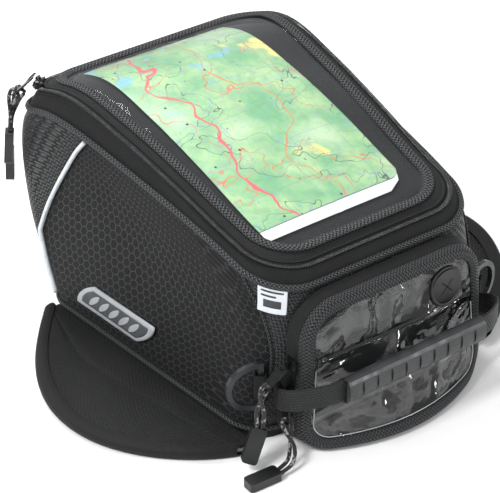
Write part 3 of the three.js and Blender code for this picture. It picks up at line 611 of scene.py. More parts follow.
def map_paper(name, width, length):
    """A generic road map: relief tints, lakes, thin roads, one marked route and a white margin."""
    s = Shade(name, Roughness=0.42)
    x, y, _ = s.axes(s.uv)
    land = s.blend(s.span(s.noise(26, 4), 0.35, 0.68), (0.22, 0.50, 0.26, 1), (0.52, 0.72, 0.38, 1))
    hills = s.span(s.noise(95, 6, distortion=0.8), 0.42, 0.72, 0.0, 0.42)
    ground = s.blend(hills, land, (0.16, 0.36, 0.22, 1))
    pale = s.span(s.noise(9, 2), 0.52, 0.66, 0.0, 0.75)
    ground = s.blend(pale, ground, (0.66, 0.80, 0.58, 1))
    north = s.span(y, length * 0.55, length * 0.95)
    lake = s.math("MULTIPLY", s.span(s.noise(34, 3), 0.60, 0.63), north)
    ground = s.blend(lake, ground, (0.25, 0.55, 0.80, 1))
    field = s.math("MULTIPLY", s.span(s.noise(21, 2), 0.62, 0.66), s.span(x, width * 0.45, width * 0.8))
    ground = s.blend(field, ground, (0.90, 0.80, 0.30, 1))

    roads = (
        (12, 0.5, 0.0035, (0.70, 0.24, 0.12, 1)),
        (17, 0.44, 0.0035, (0.12, 0.14, 0.14, 1)),
        (31, 0.56, 0.004, (0.42, 0.45, 0.40, 1)),
        (48, 0.5, 0.004, (0.22, 0.42, 0.62, 1)),
    )
    for scale, level, breadth, tint in roads:
        gap = s.math("ABSOLUTE", s.math("SUBTRACT", s.noise(scale, distortion=0.3), level))
        ground = s.blend(s.span(gap, breadth, breadth * 0.4), ground, tint)
    wander = s.math("MULTIPLY", s.math("SUBTRACT", s.noise(14, 2.5), 0.5), 0.11)
    route = s.math("ABSOLUTE", s.math("SUBTRACT", s.math("ADD", x, wander), width * 0.20))
    ground = s.blend(s.span(route, 0.0019, 0.0009), ground, (0.72, 0.16, 0.17, 1))
    trunk = s.math("MULTIPLY", s.math("SUBTRACT", s.noise(11, 2), 0.5), 0.16)
    track = s.math("ABSOLUTE", s.math("SUBTRACT", s.math("ADD", x, trunk), width * 0.56))
    ground = s.blend(s.span(track, 0.0009, 0.0004), ground, (0.80, 0.22, 0.10, 1))
    spots = s.node("ShaderNodeTexVoronoi", {"Vector": s.uv, "Scale": 62.0, "Randomness": 1.0})
    ground = s.blend(s.span(spots, 0.10, 0.06), ground, (0.05, 0.05, 0.05, 1))
    lines = s.node("ShaderNodeTexBrick", {"Vector": s.uv, "Scale": 1.0, "Mortar Size": 0.00035}, output=1)
    lines.node.inputs["Brick Width"].default_value = 0.046
    lines.node.inputs["Row Height"].default_value = 0.046
    lines.node.offset = 0.0
    ground = s.blend(s.math("MULTIPLY", lines, 0.35), ground, (0.20, 0.26, 0.30, 1))
    frame_line = s.math("LESS_THAN", s.math("ABSOLUTE", s.math("SUBTRACT", y, 0.0125)), 0.0006)
    margin = s.math("LESS_THAN", y, 0.0125)
    ground = s.blend(margin, ground, (0.88, 0.90, 0.88, 1))
    s.colour(s.blend(frame_line, ground, (0.15, 0.20, 0.20, 1)))
    s.bump(s.noise(40, 3), 0.0006, 0.5)
    return s.material


def cord_braid(name):
    """Black braided cord with pale flecks."""
    s = Shade(name, object_space=True, Sheen_Weight=0.2)
    cells = s.node("ShaderNodeTexVoronoi", {"Vector": s.uv, "Scale": 900.0})
    flecks = s.node("ShaderNodeTexVoronoi", {"Vector": s.uv, "Scale": 420.0, "Randomness": 0.8}, output=1)
    pick = s.math("GREATER_THAN", s.axes(flecks)[0], 0.82)
    s.colour(s.blend(pick, grey(0.004), grey(0.22)))
    s.rough(s.span(cells, 0.0, 0.8, 0.55, 0.9))
    s.bump(cells, 0.0005)
    return s.material


def reflective_film(name):
    """Pale film over a seam, with a fine grid pressed into it."""
    s = Shade(name, Coat_Weight=0.4)
    height = s.weave(0.0012)
    patch = s.span(s.noise(120, 2), 0.3, 0.7)
    s.colour(s.blend(patch, (0.58, 0.63, 0.67, 1), (0.74, 0.78, 0.81, 1)))
    s.rough(s.span(height, 0, 1, 0.42, 0.28))
    s.bump(height, 0.0001)
    return s.material


def ribbed_tape(name, dark, light):
    """Zip tape: a fine weave, longer one way, that looks ribbed, with a painted highlight on the rib tops
    and painted shade in the grooves.
    """
    s = Shade(name, **CLOTH, Specular_IOR_Level=0.25)
    height = s.weave(0.00115, 1.8)
    # Painted highlight and shade: the rib tops are lighter and the grooves darker by the weave's height;
    # the noise adds random tone.
    shade = s.math("ADD", s.span(height, 0.4, 1.0), s.span(s.noise(20), 0.4, 0.7, 0, 0.3))
    s.colour(s.blend(shade, grey(dark, COOL), grey(light, COOL)))
    s.rough(s.span(height, 0.3, 1.0, 0.8, 0.55))
    s.bump(height, 0.0003)
    return s.material


M = {
    "ballistic": woven("ballistic_nylon", 0.0008, 0.034, 0.0031, 0.0014, (0.75, 0.26)),
    "rider": woven("rider_nylon", 0.0008, 0.040, 0.0029, 0.0013, (0.75, 0.24)),
    "hex": hex_cloth("hex_nylon", 0.0088),
    "tape": ribbed_tape("zip_tape", 0.0018, 0.012),
    "braid": braid("mesh_binding", 0.0008, 0.085, 0.0027, 0.0009),
    "fine_braid": braid("fine_binding", 0.0008, 0.060, 0.0024, 0.0008),
    "olive": woven("flap_binding", 0.002, 0.011, 0.0012, 0.0003, (0.85, 0.6), 1.5),
    "flap": woven("flap_nylon", 0.0018, 0.015, 0.0030, 0.0010, (0.8, 0.38), 0.62),
    "webbing": woven("webbing", 0.002, 0.022, 0.0017, 0.0006, (0.8, 0.45), 1.5),
    "elastic": woven("elastic", 0.020, 0.30, 0.0026, 0.0006, (0.8, 0.5), 0.5),
    # Painted highlight: a pale line standing for the glare along the pocket window's edge.
    "edge_highlight": moulded("vinyl_edge_highlight", 0.45, 0.2, spread=0.15),
    "coil": moulded("zip_coil", 0.045, 0.24, spread=0.2),
    "film": reflective_film("reflective_film"),
    "vinyl": clear_vinyl("clear_vinyl", 0.03, 0.006, 0.32, 0.2, 2.4),
    "pocket_vinyl": clear_vinyl("pocket_vinyl", 0.25, 0.030, 0.6, 0.02, 2.8),
    "lining": woven("lining", 0.004, 0.012, 0.0010, 0.0002, (0.7, 0.5)),
    "base": moulded("base_grip", 0.006, 0.8, 700, 0.0003),
    "foam": moulded("foam_board", 0.05, 0.9, 500, 0.0002),
    "rubber": moulded("moulded_rubber", 0.008, 0.42, 1200, 0.00006),
    "grip": moulded("grip_rubber", 0.030, 0.42, 1200, 0.00006),
    "end": moulded("end_rubber", 0.012, 0.36, 1100, 0.00006),
    "ring": moulded("ring_acetal", 0.018, 0.36, 900, 0.00005, tint=(0.86, 1.0, 1.2)),
    "metal": moulded("black_metal", 0.018, 0.26, 900, 0.00004, 0.6),
    "cord": cord_braid("braided_cord"),
    "badge": moulded("badge_rubber", 0.40, 0.45, 900, 0.00006, spread=0.12),
    "badge_dark": moulded("badge_inset", 0.07, 0.6, 900, 0.00008, spread=0.2),
    "label": woven("label_cloth", 0.50, 0.80, 0.0009, 0.0001, (0.8, 0.6)),
    "thread": moulded("thread", 0.035, 0.6, 2000, 0.00005),
}


# ------------------------------------------------------------------ wall panels
def seam_pair(seam, v):
    """A seam's station on each side of the bag."""
    s = profile(seam, v)
    return {"right": s, "left": 10 - s}


def ripple(u, v, waves, depth):
    """Slow folds that fade out at a panel's seams."""
    fade = min(1, 6 * u, 6 * (1 - u)) * min(1, 6 * v, 6 * (1 - v))
    return depth * fade * sum(a * math.sin(fu * u + fv * v + phase) for a, fu, fv, phase in waves)


def pillow(u, v, rise, seam_width=0.05):
    """Padding that falls away to the seams."""
    edge = min(u, 1 - u, v, 1 - v) / seam_width
    return rise * (1 - math.exp(-1.6 * max(edge, 0)))


def corner_seam(v):
    return seam_pair(CORNER_SEAM, v)


def piping_seam(v):
    return seam_pair(PIPING_SEAM, v)


def rider_corner(v):
    """The left corner seam's station, counted on past the rider's end."""
    return -corner_seam(v)["right"]


def seam_of(pair, side):
    return lambda v: pair(v)[side]


SOFT_WAVES = ((1.0, 7, 3, 0.4), (0.7, 3, 9, 1.7), (0.5, 13, -6, 2.2))
CREASED_WAVES = ((1.0, 5, 4, 1.0), (0.6, 9, -5, 0.2), (0.4, 17, 8, 0.9))
SEAM_GAP = 0.004  # in stations, between a panel and its seam


def wall_panel(name, slot, material, start, stop, grid, waves, depth):
    def at(u, v):
        return wall_point(mix(start(v) + SEAM_GAP, stop(v) - SEAM_GAP, u), v)

    def relief(u, v):
        return pillow(u, v, 1.6) - 1.4 + ripple(u, v, waves, depth)

    panel = sheet(f"{name}_cloth", at, *grid, PANEL_THICK, M[material], relief=relief)
    fit(panel, "shell", [name])


def build_walls():
    right_corner, left_corner = seam_of(corner_seam, "right"), seam_of(corner_seam, "left")
    right_piping, left_piping = seam_of(piping_seam, "right"), seam_of(piping_seam, "left")
    ballistic, hexagon = ("ballistic_nylon", "ballistic"), ("hex_nylon", "hex")
    rider = ("ballistic_nylon", "rider")
    wall_panel("rider_panel", *rider, rider_corner, right_corner, (96, 48), SOFT_WAVES, 0.7)
    wall_panel("right_side_panel", *hexagon, right_corner, right_piping, (96, 56), CREASED_WAVES, 1.1)
    wall_panel("head_panel", *ballistic, right_piping, left_piping, (110, 52), SOFT_WAVES, 1.2)
    wall_panel("left_side_panel", *hexagon, left_piping, left_corner, (96, 56), CREASED_WAVES, 1.1)


def wall_frame(station, v):
    """A wall point with its outward normal."""
    p = wall_point(station, v)
    along = wall_point(station + 0.02, v) - wall_point(station - 0.02, v)
    up = wall_point(station, min(v + 0.01, 1)) - wall_point(station, max(v - 0.01, 0))
    out = np.cross(along, up)
    return p, out / np.linalg.norm(out)


def seam_line(pair, side, count, low, high, lift):
    """Points up a wall seam, lifted off the wall, with the outward direction at each."""
    points, outs = [], []
    for i in range(count):
        v = mix(low, high, i / (count - 1))
        p, out = wall_frame(pair(v)[side], v)
        points.append(p + out * lift)
        outs.append(out)
    return points, outs


def build_seams():
    for side, _sign in SIDES:
        points, outs = seam_line(piping_seam, side, 60, 0.03, 0.975, 1.4)
        pipe = sweep(f"{side}_piping_film", points, (2.1, 2.5), M["film"], sides=12, up=outs)
        fit(pipe, "shell", [f"{side}_reflective_piping"])
        points, outs = seam_line(corner_seam, side, 40, 0.02, 0.98, 0.2)
        seam = sweep(f"{side}_corner_seam", points, (1.5, 1.1), M["fine_braid"], sides=8, up=outs)
        fit(seam, "shell")
    plan = inset(BASE_LINE, 0.6)
    base = ring_points(lambda s: np.append(outline_point(plan, s), BASE_Z - 2.6))
    binding = sweep("base_binding", base, (2.1, 2.2), M["braid"], True, 12)
    fit(binding, "shell", ["base_piping"])
    centre = np.array((0, 30, 0))

    def rim_point(s):
        p = wall_point(s, 1) + (0, 0, 0.5)
        out = (p - centre) * (1, 1, 0)
        return p + out * (1.2 / np.linalg.norm(out))

    fit(sweep("rim_binding", ring_points(rim_point), (2.6, 3.0), M["braid"], True, 12), "shell")


def build_base():
    NODES["base_panel"].data.materials[0] = M["base"]
    NODES["base_stiffener"].data.materials[0] = M["foam"]

    def tape(u, v):
        level = inset(BASE_LINE, mix(4.5, 1.0, v))
        return np.append(outline_point(level, 10 * u), mix(7.4, 14.6, v))

    inner = sheet("base_seam_tape", tape, 200, 4, 0.8, M["tape"], ring=True)
    fit(inner, "shell")


# ------------------------------------------------------------------ lid
def build_zip():
    def at(u, v):
        s = 10 * u
        p = mix(wall_point(s, 1) + (0, 0, 0.4), line_point(ZIP_LINE, s, ZIP_PROFILE), v)
        return p + (0, 0, 2 * math.sin(math.pi * v))

    def tuck(u, v):
        return 0.25 * math.sin(60 * math.pi * u) * math.sin(math.pi * v)

    tape = sheet("body_tape_cloth", at, RING_POINTS, 8, TAPE_THICK, M["tape"], ring=True, relief=tuck)
    fit(tape, "shell", ["body_zip_tape"])
    NODES["lid_hinge_strip"].data.materials[0] = M["tape"]
    line = ring_points(lambda s: line_point(ZIP_LINE, s, ZIP_PROFILE, 2.0), 400)
    fit(coil("zip_coil_teeth", line, (2.1, 1.1), 1.6, 0.46, M["coil"]), "shell")


def build_lid_frame():
    outer = inset(ZIP_LINE, 1.2)

    def at(u, v):
        s = 10 * u
        low = line_point(outer, s, ZIP_PROFILE, 0.4)
        high = line_point(WINDOW_LINE, s, ZIP_PROFILE, 5)
        return mix(low, high, v) + (0, 0, 2.5 * math.sin(math.pi * v))

    def line_on_lid(line, rise, count=RING_POINTS):
        return ring_points(lambda s: line_point(line, s, ZIP_PROFILE, rise), count)

    band = sheet("lid_band_cloth", at, RING_POINTS, 10, TAPE_THICK, M["tape"], ring=True)
    fit(band, "lid", ["lid_frame"])
    edge = line_on_lid(inset(WINDOW_LINE, -4), 6.3)
    fit(sweep("window_binding", edge, (5.2, 1.7), M["braid"], True, 14), "lid")
    for name, gap in (("inner", -0.6), ("outer", -8.6)):
        row = line_on_lid(inset(WINDOW_LINE, gap), 5.9, 400)
        stitches(f"window_stitches_{name}", row, 3.6, 2.0, "lid")
    ridge = line_on_lid(inset(ZIP_LINE, 5), 2.6)
    fit(sweep("lid_tape_ridge", ridge, (1.6, 1.0), M["tape"], True, 8), "lid")


def panel_inside(line, place_at):
    """A surface that fills an outline, with place_at(x, y) giving its height."""

    def at(u, v):
        along = mix(line["front"], line["back"], v)
        return place_at(half_width(line, along) * (2 * u - 1), along)

    return at


def build_window():
    glass = inset(WINDOW_LINE, 1.2)

    def pane(x, y):
        near = min(1, max(0, (abs(x) - 60) / 40))
        wave = 1.2 * math.sin(y / 17 + x / 60) * near + 0.5 * math.sin(x / 11 + y / 23)
        return np.array((x, y, lid_height(x, y) + wave * 0.6))

    window = sheet("map_window_vinyl", panel_inside(glass, pane), 70, 90, VINYL_THICK, M["vinyl"])
    fit(window, "lid", ["map_window"])
    inside = inset(WINDOW_LINE, 0.5)

    def lining(x, y):
        border = min(half_width(inside, y) - abs(x), y - inside["front"], inside["back"] - y)
        return np.array((x, y, lid_height(x, y) - 4.6 + 3.0 * math.exp(-max(border, 0) / 3)))

    backing = sheet("map_backing_cloth", panel_inside(inside, lining), 60, 80, 1.2, M["lining"])
    fit(backing, "lid", ["map_pocket_backing"])


def build_map():
    """The folded map: shallow creases where it was folded and one corner turned under."""
    front, back, middle = -105, 168, -6

    def at(u, v):
        x = middle + MAP_WIDTH * (u - 0.5)
        y = mix(front, back, v)
        cut = max(0, (u - 0.86) / 0.14 + (0.075 - v) / 0.075 - 1)
        crease = math.exp(-(((u - 0.5) / 0.015) ** 2)) + math.exp(-(((v - 0.5) / 0.01) ** 2))
        x -= 7 * cut
        y += 8 * cut
        drop = 1.9 + crease * 0.35 + 0.5 * math.sin(3 * u + 5 * v)
        return np.array((x, y, lid_height(x, y) - drop))

    paper = map_paper("map_paper", MAP_WIDTH * MM, MAP_LENGTH * MM)
    sheet_map = sheet("map_print", at, 80, 120, 0.4, paper)
    fit(sheet_map, "lid", ["map_sheet"])


# ------------------------------------------------------------------ front pocket
def zip_swell(x, z):
    """How far the pocket's face bulges towards the rider."""
    return POCKET_EDGE_Y - pocket_face_y(x, z)


def build_gusset():
    root = inset(POCKET, -3)

    def at(u, v):
        s = -10 * u
        a = pocket_point(root, s, lambda x, z: min(rider_wall_y(x, z), -144) - 2.5)
        b = pocket_point(POCKET, s, lambda x, z: POCKET_ZIP_Y - zip_swell(x, z))
        p = mix(a, b, v)
        p[2] = max(p[2], 2.6)
        return p

    gusset = sheet("pocket_side_cloth", at, 220, 8, TAPE_THICK, M["tape"], ring=True)
    fit(gusset, "shell", ["pocket_gusset"])
    zip_line = inset(POCKET, -0.2)

    def zip_point(s):
        p = pocket_point(zip_line, s, lambda x, z: POCKET_ZIP_Y - 0.4 - zip_swell(x, z))
        p[2] = max(p[2], 3.4)
        return p

    line = ring_points(zip_point, 300)
    fit(coil("pocket_coil_teeth", line, (1.7, 0.8), 1.5, 0.4, M["coil"]), "shell")


def cover_rim(name, start, stop, columns):
    """Part of the bound edge round the pocket's face, which rolls over towards the zip."""
    inner = inset(POCKET, BINDING_WIDTH)
    round_over = 0.42

    def at(u, v):
        s = mix(start, stop, u)
        low = pocket_point(POCKET, s, lambda x, z: POCKET_ZIP_Y - 0.8 - zip_swell(x, z))
        edge = pocket_point(inset(POCKET, 1.5), s, lambda x, z: POCKET_EDGE_Y - zip_swell(x, z))
        rim = pocket_point(inner, s, pocket_face_y)
        if v < round_over:
            p = mix(low, edge, v / round_over)
        else:
            t = (v - round_over) / (1 - round_over)
            p = mix(edge, rim, t) + (0, -1.3 * math.sin(math.pi * t), 0)
        p[2] = max(p[2], 3)
        return p

    return sheet(name, at, columns, 10, TAPE_THICK, M["fine_braid"])


def fold_station():
    """Where the cover's fold meets the outline's side."""
    low = POCKET["front"] + POCKET["front_r"]
    return 2 + (FOLD_Z - low) / (POCKET["back"] - POCKET["back_r"] - low)


def build_cover():
    fold = fold_station()
    upper = cover_rim("pocket_rim_top", 10 - fold, fold, 110)
    fit(upper, "pocket_cover", ["pocket_rim_upper"])
    lower = cover_rim("pocket_rim_base", fold, -fold, 130)
    fit(lower, "shell", ["pocket_rim_lower"])
    inner = inset(POCKET, BINDING_WIDTH - 1.5)

    def pane(low, high):
        def at(u, v):
            z = mix(low, high, v)
            x = half_width(inner, z) * (2 * u - 1)
            wave = 0.9 * math.sin(x / 9 + z / 13) + 0.8 * math.sin(z / 7 - x / 21)
            near = min(1, (half_width(inner, z) - abs(x)) / 12) * min(1, (inner["back"] - z) / 10)
            hole = math.hypot(x - PORT_X, z - PORT_Z) - PORT_RADIUS
            calm = min(1, max(0, (z - inner["front"]) / 10)) * min(1, max(0, hole / 8))
            return np.array((x, pocket_face_y(x, z) - 0.3 + wave * near * calm, z))

        return at

    def vinyl(name, low, high, rows):
        return sheet(name, pane(low, high), 80, rows, VINYL_THICK, M["pocket_vinyl"], round_edge=False)

    top = vinyl("pocket_vinyl_top", FOLD_Z, inner["back"], 30)
    fit(top, "pocket_cover", ["pocket_window_upper"])
    base = vinyl("pocket_vinyl_base", inner["front"], FOLD_Z, 56)
    fit(base, "shell", ["pocket_window_lower"])


def build_pocket_details():
    NODES["phone_sleeve"].data.materials[0] = M["lining"]
    NODES["pocket_elastic_strap"].data.materials[0] = M["elastic"]
    NODES["cable_port"].data.materials[0] = M["rubber"]
    ring = []
    for i in range(48):
        a = 2 * math.pi * i / 48
        x, z = PORT_X + PORT_RADIUS * math.cos(a), PORT_Z + PORT_RADIUS * math.sin(a)
        ring.append((x, pocket_face_y(x, z) - 1.2, z))
    lip = sweep("cable_port_lip", ring, (1.8, 1.3), M["rubber"], True, 10, (0, 1, 0))
    fit(lip, "pocket_cover")
    # Painted highlight: a thin pale line just inside the pocket's binding, for the glare along the vinyl's
    # edge.
    end = fold_station() - 0.1
    highlight_line = inset(POCKET, BINDING_WIDTH + 2.5)
    edge_highlight = [pocket_point(highlight_line, mix(end, -end, i / 119), pocket_face_y) - (0, 1, 0) for i in range(120)]
    fit(sweep("pocket_edge_highlight", edge_highlight, (0.45, 0.45), M["edge_highlight"], sides=8), "shell")
    hem = []
    for x in np.linspace(-86, 38, 50):
        z = 93 + x * 0.02
        hem.append((x, pocket_face_y(x, z) - 1.1, z))
    edge = sweep("pocket_vinyl_hem", hem, (0.5, 1.6), M["fine_braid"], sides=8)
    fit(edge, "pocket_cover")


# ------------------------------------------------------------------ carry handle
def handle_path():
    turn = [(-117.5, -157, 60), (-120, -167, 62.9), (-115, -181, 67.3), (-98, -193.5, 71.2)]
    hold = [(-GRIP_HALF - 3, GRIP_Y, GRIP_Z), (-GRIP_HALF + 20, GRIP_Y, GRIP_Z)]
    half = [(-111, -146.5, 60), *turn, *hold]
    return catmull([*half, (0, GRIP_Y, GRIP_Z), *[(-x, y, z) for x, y, z in reversed(half)]], 160)


def build_handle():
    path = handle_path()

    def at(u, v):
        k = u * (len(path) - 1)
        i = min(int(k), len(path) - 2)
        return mix(path[i], path[i + 1], k - i) + (0, 0, WEBBING_WIDTH * (v - 0.5))

    webbing = sheet("handle_webbing_strap", at, 150, 8, WEBBING_THICK, M["webbing"])
    fit(webbing, "carry_handle", ["handle_webbing", "handle_anchor_left", "handle_anchor_right"])
    webbing.parent = None
    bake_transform(webbing)
    grip = NODES["handle_grip"]
    grip.data.materials[0] = M["grip"]
    soften(grip, 0.4, 2)


def soften(obj, width, segments=2):
    """Rounds a CAD piece's hard edges."""
    bevel = obj.modifiers.new("soft_edges", "BEVEL")
    bevel.width = width * MM
    bevel.segments = segments
    bevel.limit_method = "ANGLE"
    bevel.angle_limit = math.radians(32)
    bevel.use_clamp_overlap = True
    normal = obj.modifiers.new("even_normals", "WEIGHTED_NORMAL")
    normal.keep_sharp = False


# ------------------------------------------------------------------ rings and pulls
def build_rings():
    for side, _sign in SIDES:
        ring = NODES[f"d_ring_{side}"]
        ring.data.materials[0] = M["ring"]
        soften(ring, 1.2, 3)
        tab = NODES[f"d_ring_tab_{side}"]
        tab.data.materials[0] = M["webbing"]
        soften(tab, 0.6)


# Each puller as in the CAD model: where its slider sits, the way its face and plate point, and
# the course of its cord from the plate's eye to the end piece.
PULLERS = (
    dict(name="pocket_upper", at=(-105.5, -163.5, 93), face=(-1, 0, 0), lift=1.3, plate=(-0.7, 0.15, -0.7),
         course=((-5, 0.5, -7), (-7, 0, -24)), end=(-8, -0.5, -39),
         end_down=(-0.45, -0.08, -0.87), end_face=(-0.5, -0.8, 0.3)),
    dict(name="pocket_lower", at=(-105.5, -164, 62), face=(-1, 0, 0), lift=0.8, plate=(-0.03, -0.12, -0.98),
         course=((-1, -4, -8), (-2, -11, -20), (-8, -16, -31)), end=(-22, -17.5, -35.2),
         end_down=(-1, 0.05, 0), end_face=(0, 0, 1)),
    dict(name="lid_left", station=6.75, lift=3.6, plate=(-0.52, 0.52, -0.68),
         course=((-3, 3, -8), (-5, 3, -24)), end=(-7, 3, -38),
         end_down=(-0.1, 0, -1), end_face=(-0.8, 0.55, 0)),
    dict(name="lid_rear", station=6.45, lift=3.6, plate=(-0.35, 0.5, -0.79),
         course=((-3, 4, -9), (-8, 7, -32)), end=(-12, 7, -60),
         end_down=(-0.05, 0, -1), end_face=(-0.8, 0.55, 0)),
)
CORD_RADIUS = 1.8
SLIDER_TOP = 6.6
PLATE_OUT = 1.2
EYE_DROP = 20


def puller_seat(spec):
    """Where a puller's slider sits, and the way its face points."""
    if "station" not in spec:
        return np.array(spec["at"], float), np.array(spec["face"], float)
    station = spec["station"]
    at = line_point(ZIP_LINE, station, ZIP_PROFILE)
    zip_way = unit(line_point(ZIP_LINE, station + 0.05, ZIP_PROFILE) - at)
    inward = line_point(WINDOW_LINE, station, ZIP_PROFILE, 5) - at
    face = unit(np.cross(zip_way, inward))
    return at + face * 3, face


def across_and_over(y_axis, z_hint):
    y = unit(y_axis)
    x = unit(np.cross(y, z_hint))
    return x, unit(np.cross(x, y))


def cord_line(spec):
    """The cord's loop: up one strand from the end piece, through the eye and down the other."""
    at, face = puller_seat(spec)
    away = unit(spec["plate"])
    plate_top = at + face * (SLIDER_TOP + spec["lift"]) + away * (PLATE_OUT + spec["lift"])
    over = across_and_over(-away, face)[1]
    eye = plate_top + away * EYE_DROP
    down = unit(spec["end_down"])
    beside = across_and_over(-down, np.array(spec["end_face"], float))[0]
    end_top = eye + np.array(spec["end"], float)

    def strand(side):
        points = []
        for i, step in enumerate(spec["course"]):
            offset = over * side * 3.4 if i == 0 else beside * side * 3.2
            points.append(eye + np.array(step, float) + offset)
        points.append(end_top + beside * side * 2.6 - down * 0.8)
        return points

    around = [eye + over * side * 4.2 for side in (1, 0, -1)]
    return catmull([*strand(1)[::-1], *around, *strand(-1)], 40)


def build_cords():
    for spec in PULLERS:
        name = spec["name"]
        line = cord_line(spec) * MM
        curve = bpy.data.curves.new(f"{name}_cord_braid", "CURVE")
        curve.dimensions = "3D"
        curve.bevel_depth = CORD_RADIUS * MM
        curve.bevel_resolution = 4
        curve.use_fill_caps = True
        spline = curve.splines.new("POLY")
        spline.points.add(len(line) - 1)
        for point, co in zip(spline.points, line):
            point.co = (*co, 1)
        curve.materials.append(M["cord"])
        cord = bpy.data.objects.new(f"{name}_cord_braid", curve)
        bpy.context.scene.collection.objects.link(cord)
        fit(cord, f"{name}_puller", [f"{name}_cord"])
        length = float(arc_lengths(line)[-1])


PULL_KINDS = (("slider", "metal", 0.5), ("pull", "metal", 0.4), ("end", "end", 1.6))


def build_pulls():
    for spec in PULLERS:
        for kind, material, width in PULL_KINDS:
            node = NODES[f"{spec['name']}_{kind}"]
            node.data.materials[0] = M[material]
            soften(node, width, 3)


# ------------------------------------------------------------------ flaps
def flap_place(side, sign):
    """From a flap lying level on its hinge to its place on the bag."""
    run = (BASE_LINE["back_half"] - BASE_LINE["front_half"], BASE_LINE["back"] - BASE_LINE["front"])
    splay = math.atan2(*run)
    middle = (BASE_LINE["front_half"] + BASE_LINE["back_half"]) / 2 + 1.5
    raise_turn = Matrix.Rotation(math.radians(-sign * FLAP_REST[side]), 3, "Y")
    turn = np.array(Matrix.Rotation(-sign * splay, 3, "Z") @ raise_turn)
    origin = np.array((sign * middle, 0, FLAP_HINGE_Z))
    return lambda p: turn @ np.array(p, float) + origin


def flap_y(u, sign, cut=(0, 0)):
    return mix(FLAP_ENDS[0] + cut[0], FLAP_ENDS[1] - cut[1], u if sign > 0 else 1 - u)


def flap_fullness(t, y):
    """A flap's padding and folds, from its hinge at 0 to its edge at 1."""
    fold = 1.5 * math.exp(-(((t - 0.30 - 0.08 * math.sin(y / 40)) / 0.05) ** 2))
    swell = 1.6 * math.sin(math.pi * min(t * 1.15, 1)) * math.exp(-(((y - 20) / 90) ** 2))
    slow = 0.9 * math.sin(y / 19 + 4 * t) * math.sin(math.pi * t)
    return (swell + slow - fold) * min(1, (1 - t) * 5) * min(1, t * 5)


def flap_pad(side, sign, put):
    def face(u, v):
        y = flap_y(u, sign, (6, 6))
        t = 1 - v
        out = mix(FLAP_ROOT, max(flap_reach(y) - 3, FLAP_ROOT + 2), t)
        return put((sign * out, y, 3 + flap_fullness(t, y)))

    top = sheet(f"flap_{side}_top", face, 120, 48, FLAP_THICK, M["flap"])
    fit(top, f"flap_{side}", [f"flap_{side}_cover"])
    return top


def flap_binding(side, sign, put):
    """Cloth folded round the flap's edge, over its top and its underside."""
    half, fold_share = 4.0, 0.22

    def band(u, v):
        y = flap_y(u, sign)
        outer = flap_reach(y)
        inner = max(outer - 13, 4)
        share = 1 - 2 * v
        if abs(share) < fold_share:
            a = share / fold_share * math.pi / 2
            return put((sign * (outer - 3 + 3 * math.cos(a)), y, half * math.sin(a) + 0.2))
        t = (abs(share) - fold_share) / (1 - fold_share)
        z = math.copysign(half + 0.7 * math.sin(math.pi * t), share) + 0.2
        return put((sign * mix(outer - 3, inner, t), y, z))

    binding = sheet(f"flap_{side}_edge", band, 130, 22, 0.9, M["olive"])
    fit(binding, f"flap_{side}", [f"flap_{side}_binding"])


def flap_stitches(side, sign, put):
    row = []
    for i in range(90):
        y = mix(FLAP_ENDS[0] + 10, FLAP_ENDS[1] - 14, i / 89)
        row.append(put((sign * max(flap_reach(y) - 12, 4), y, 4.9)))
    stitches(f"flap_{side}_stitches", row, 3.2, 1.5, f"flap_{side}")


def bend_cloth(side, sign, put):
    """The strip of cloth between the base seam and the flap, laid flat and turned with the flap."""

    def strip(u, v):
        return put((sign * mix(-5, FLAP_ROOT + 2, 1 - v), flap_y(u, sign, (2, 1)), 1.4))

    strip_piece = sheet(f"flap_{side}_bend", strip, 60, 10, 1.4, M["flap"])
    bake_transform(strip_piece)


def build_flaps():
    for side, sign in SIDES:
        put = flap_place(side, sign)
        top = flap_pad(side, sign, put)
        flap_binding(side, sign, put)
        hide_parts(f"flap_{side}_backing", f"flap_{side}_magnet_1", f"flap_{side}_magnet_2")
        bend_cloth(side, sign, put)
        flap_stitches(side, sign, put)


def stitches(name, points, pitch, length, body):
    """A row of short thread stitches along a line, each a six-sided bead with narrow ends."""
    sides, thickness = 6, 0.35
    line = np.array(points, float)
    vertices, faces = [], []
    for k in range(int(arc_lengths(line)[-1] / pitch)):
        first, last = along_line(line, [k * pitch, k * pitch + length])
        way = unit(last - first)
        across = unit(np.cross(way, (0.1, 0.1, 1.0)))
        over = np.cross(across, way)
        start = len(vertices)
        for centre, grow in ((first, 0.6), (mix(first, last, 0.5), 1.0), (last, 0.6)):
            for a in range(sides):
                angle = 2 * math.pi * a / sides
                offset = across * math.cos(angle) + over * math.sin(angle)
                vertices.append(centre + offset * thickness * grow)
        for low in (start, start + sides):
            for a in range(sides):
                b = (a + 1) % sides
                faces.append([low + a, low + sides + a, low + sides + b, low + b])
        faces.append([start + a for a in range(sides)])
        faces.append([start + 2 * sides + a for a in reversed(range(sides))])
    corner_uv = [(0, 0)] * sum(len(face) for face in faces)
    return fit(place(name, vertices, faces, corner_uv, M["thread"]), body)


# ------------------------------------------------------------------ badges and label
def side_point(side, y, z):
    """The point of a side wall at y and z."""
    v = (z - BASE_Z) / (profile(RIM_PROFILE, y) - BASE_Z)
    level = mix_lines(BASE_LINE, RIM_LINE, v)
    low = level["front"] + profile(FRONT_BULGE, v) + level["front_r"]
    high = level["back"] + profile(BACK_BULGE, v) - level["back_r"]
    station = 2 + (y - low) / (high - low)
    return wall_point(station if side == "right" else 10 - station, v)


def badge_patch(side, sign, name, size, lift, thickness, material, shift=0.0):
    """A slanted pill of moulded rubber that follows the side wall."""
    length, height = size
    slant = BADGE["slant"] * height / BADGE["height"]

    def at(u, v):
        across = 2 * v - 1
        along = (2 * u - 1) * (1 - 0.45 * abs(across) ** 2.2 * height / length)
        y = BADGE["y"] + sign * (length * along / 2 + shift) - slant * across / 2
        return side_point(side, y, BADGE["z"] + height * across / 2) + (sign * lift, 0, 0)

    piece = sheet(f"{side}_badge_{name}", at, 30, 12, thickness, M[material])
    return fit(piece, "shell")


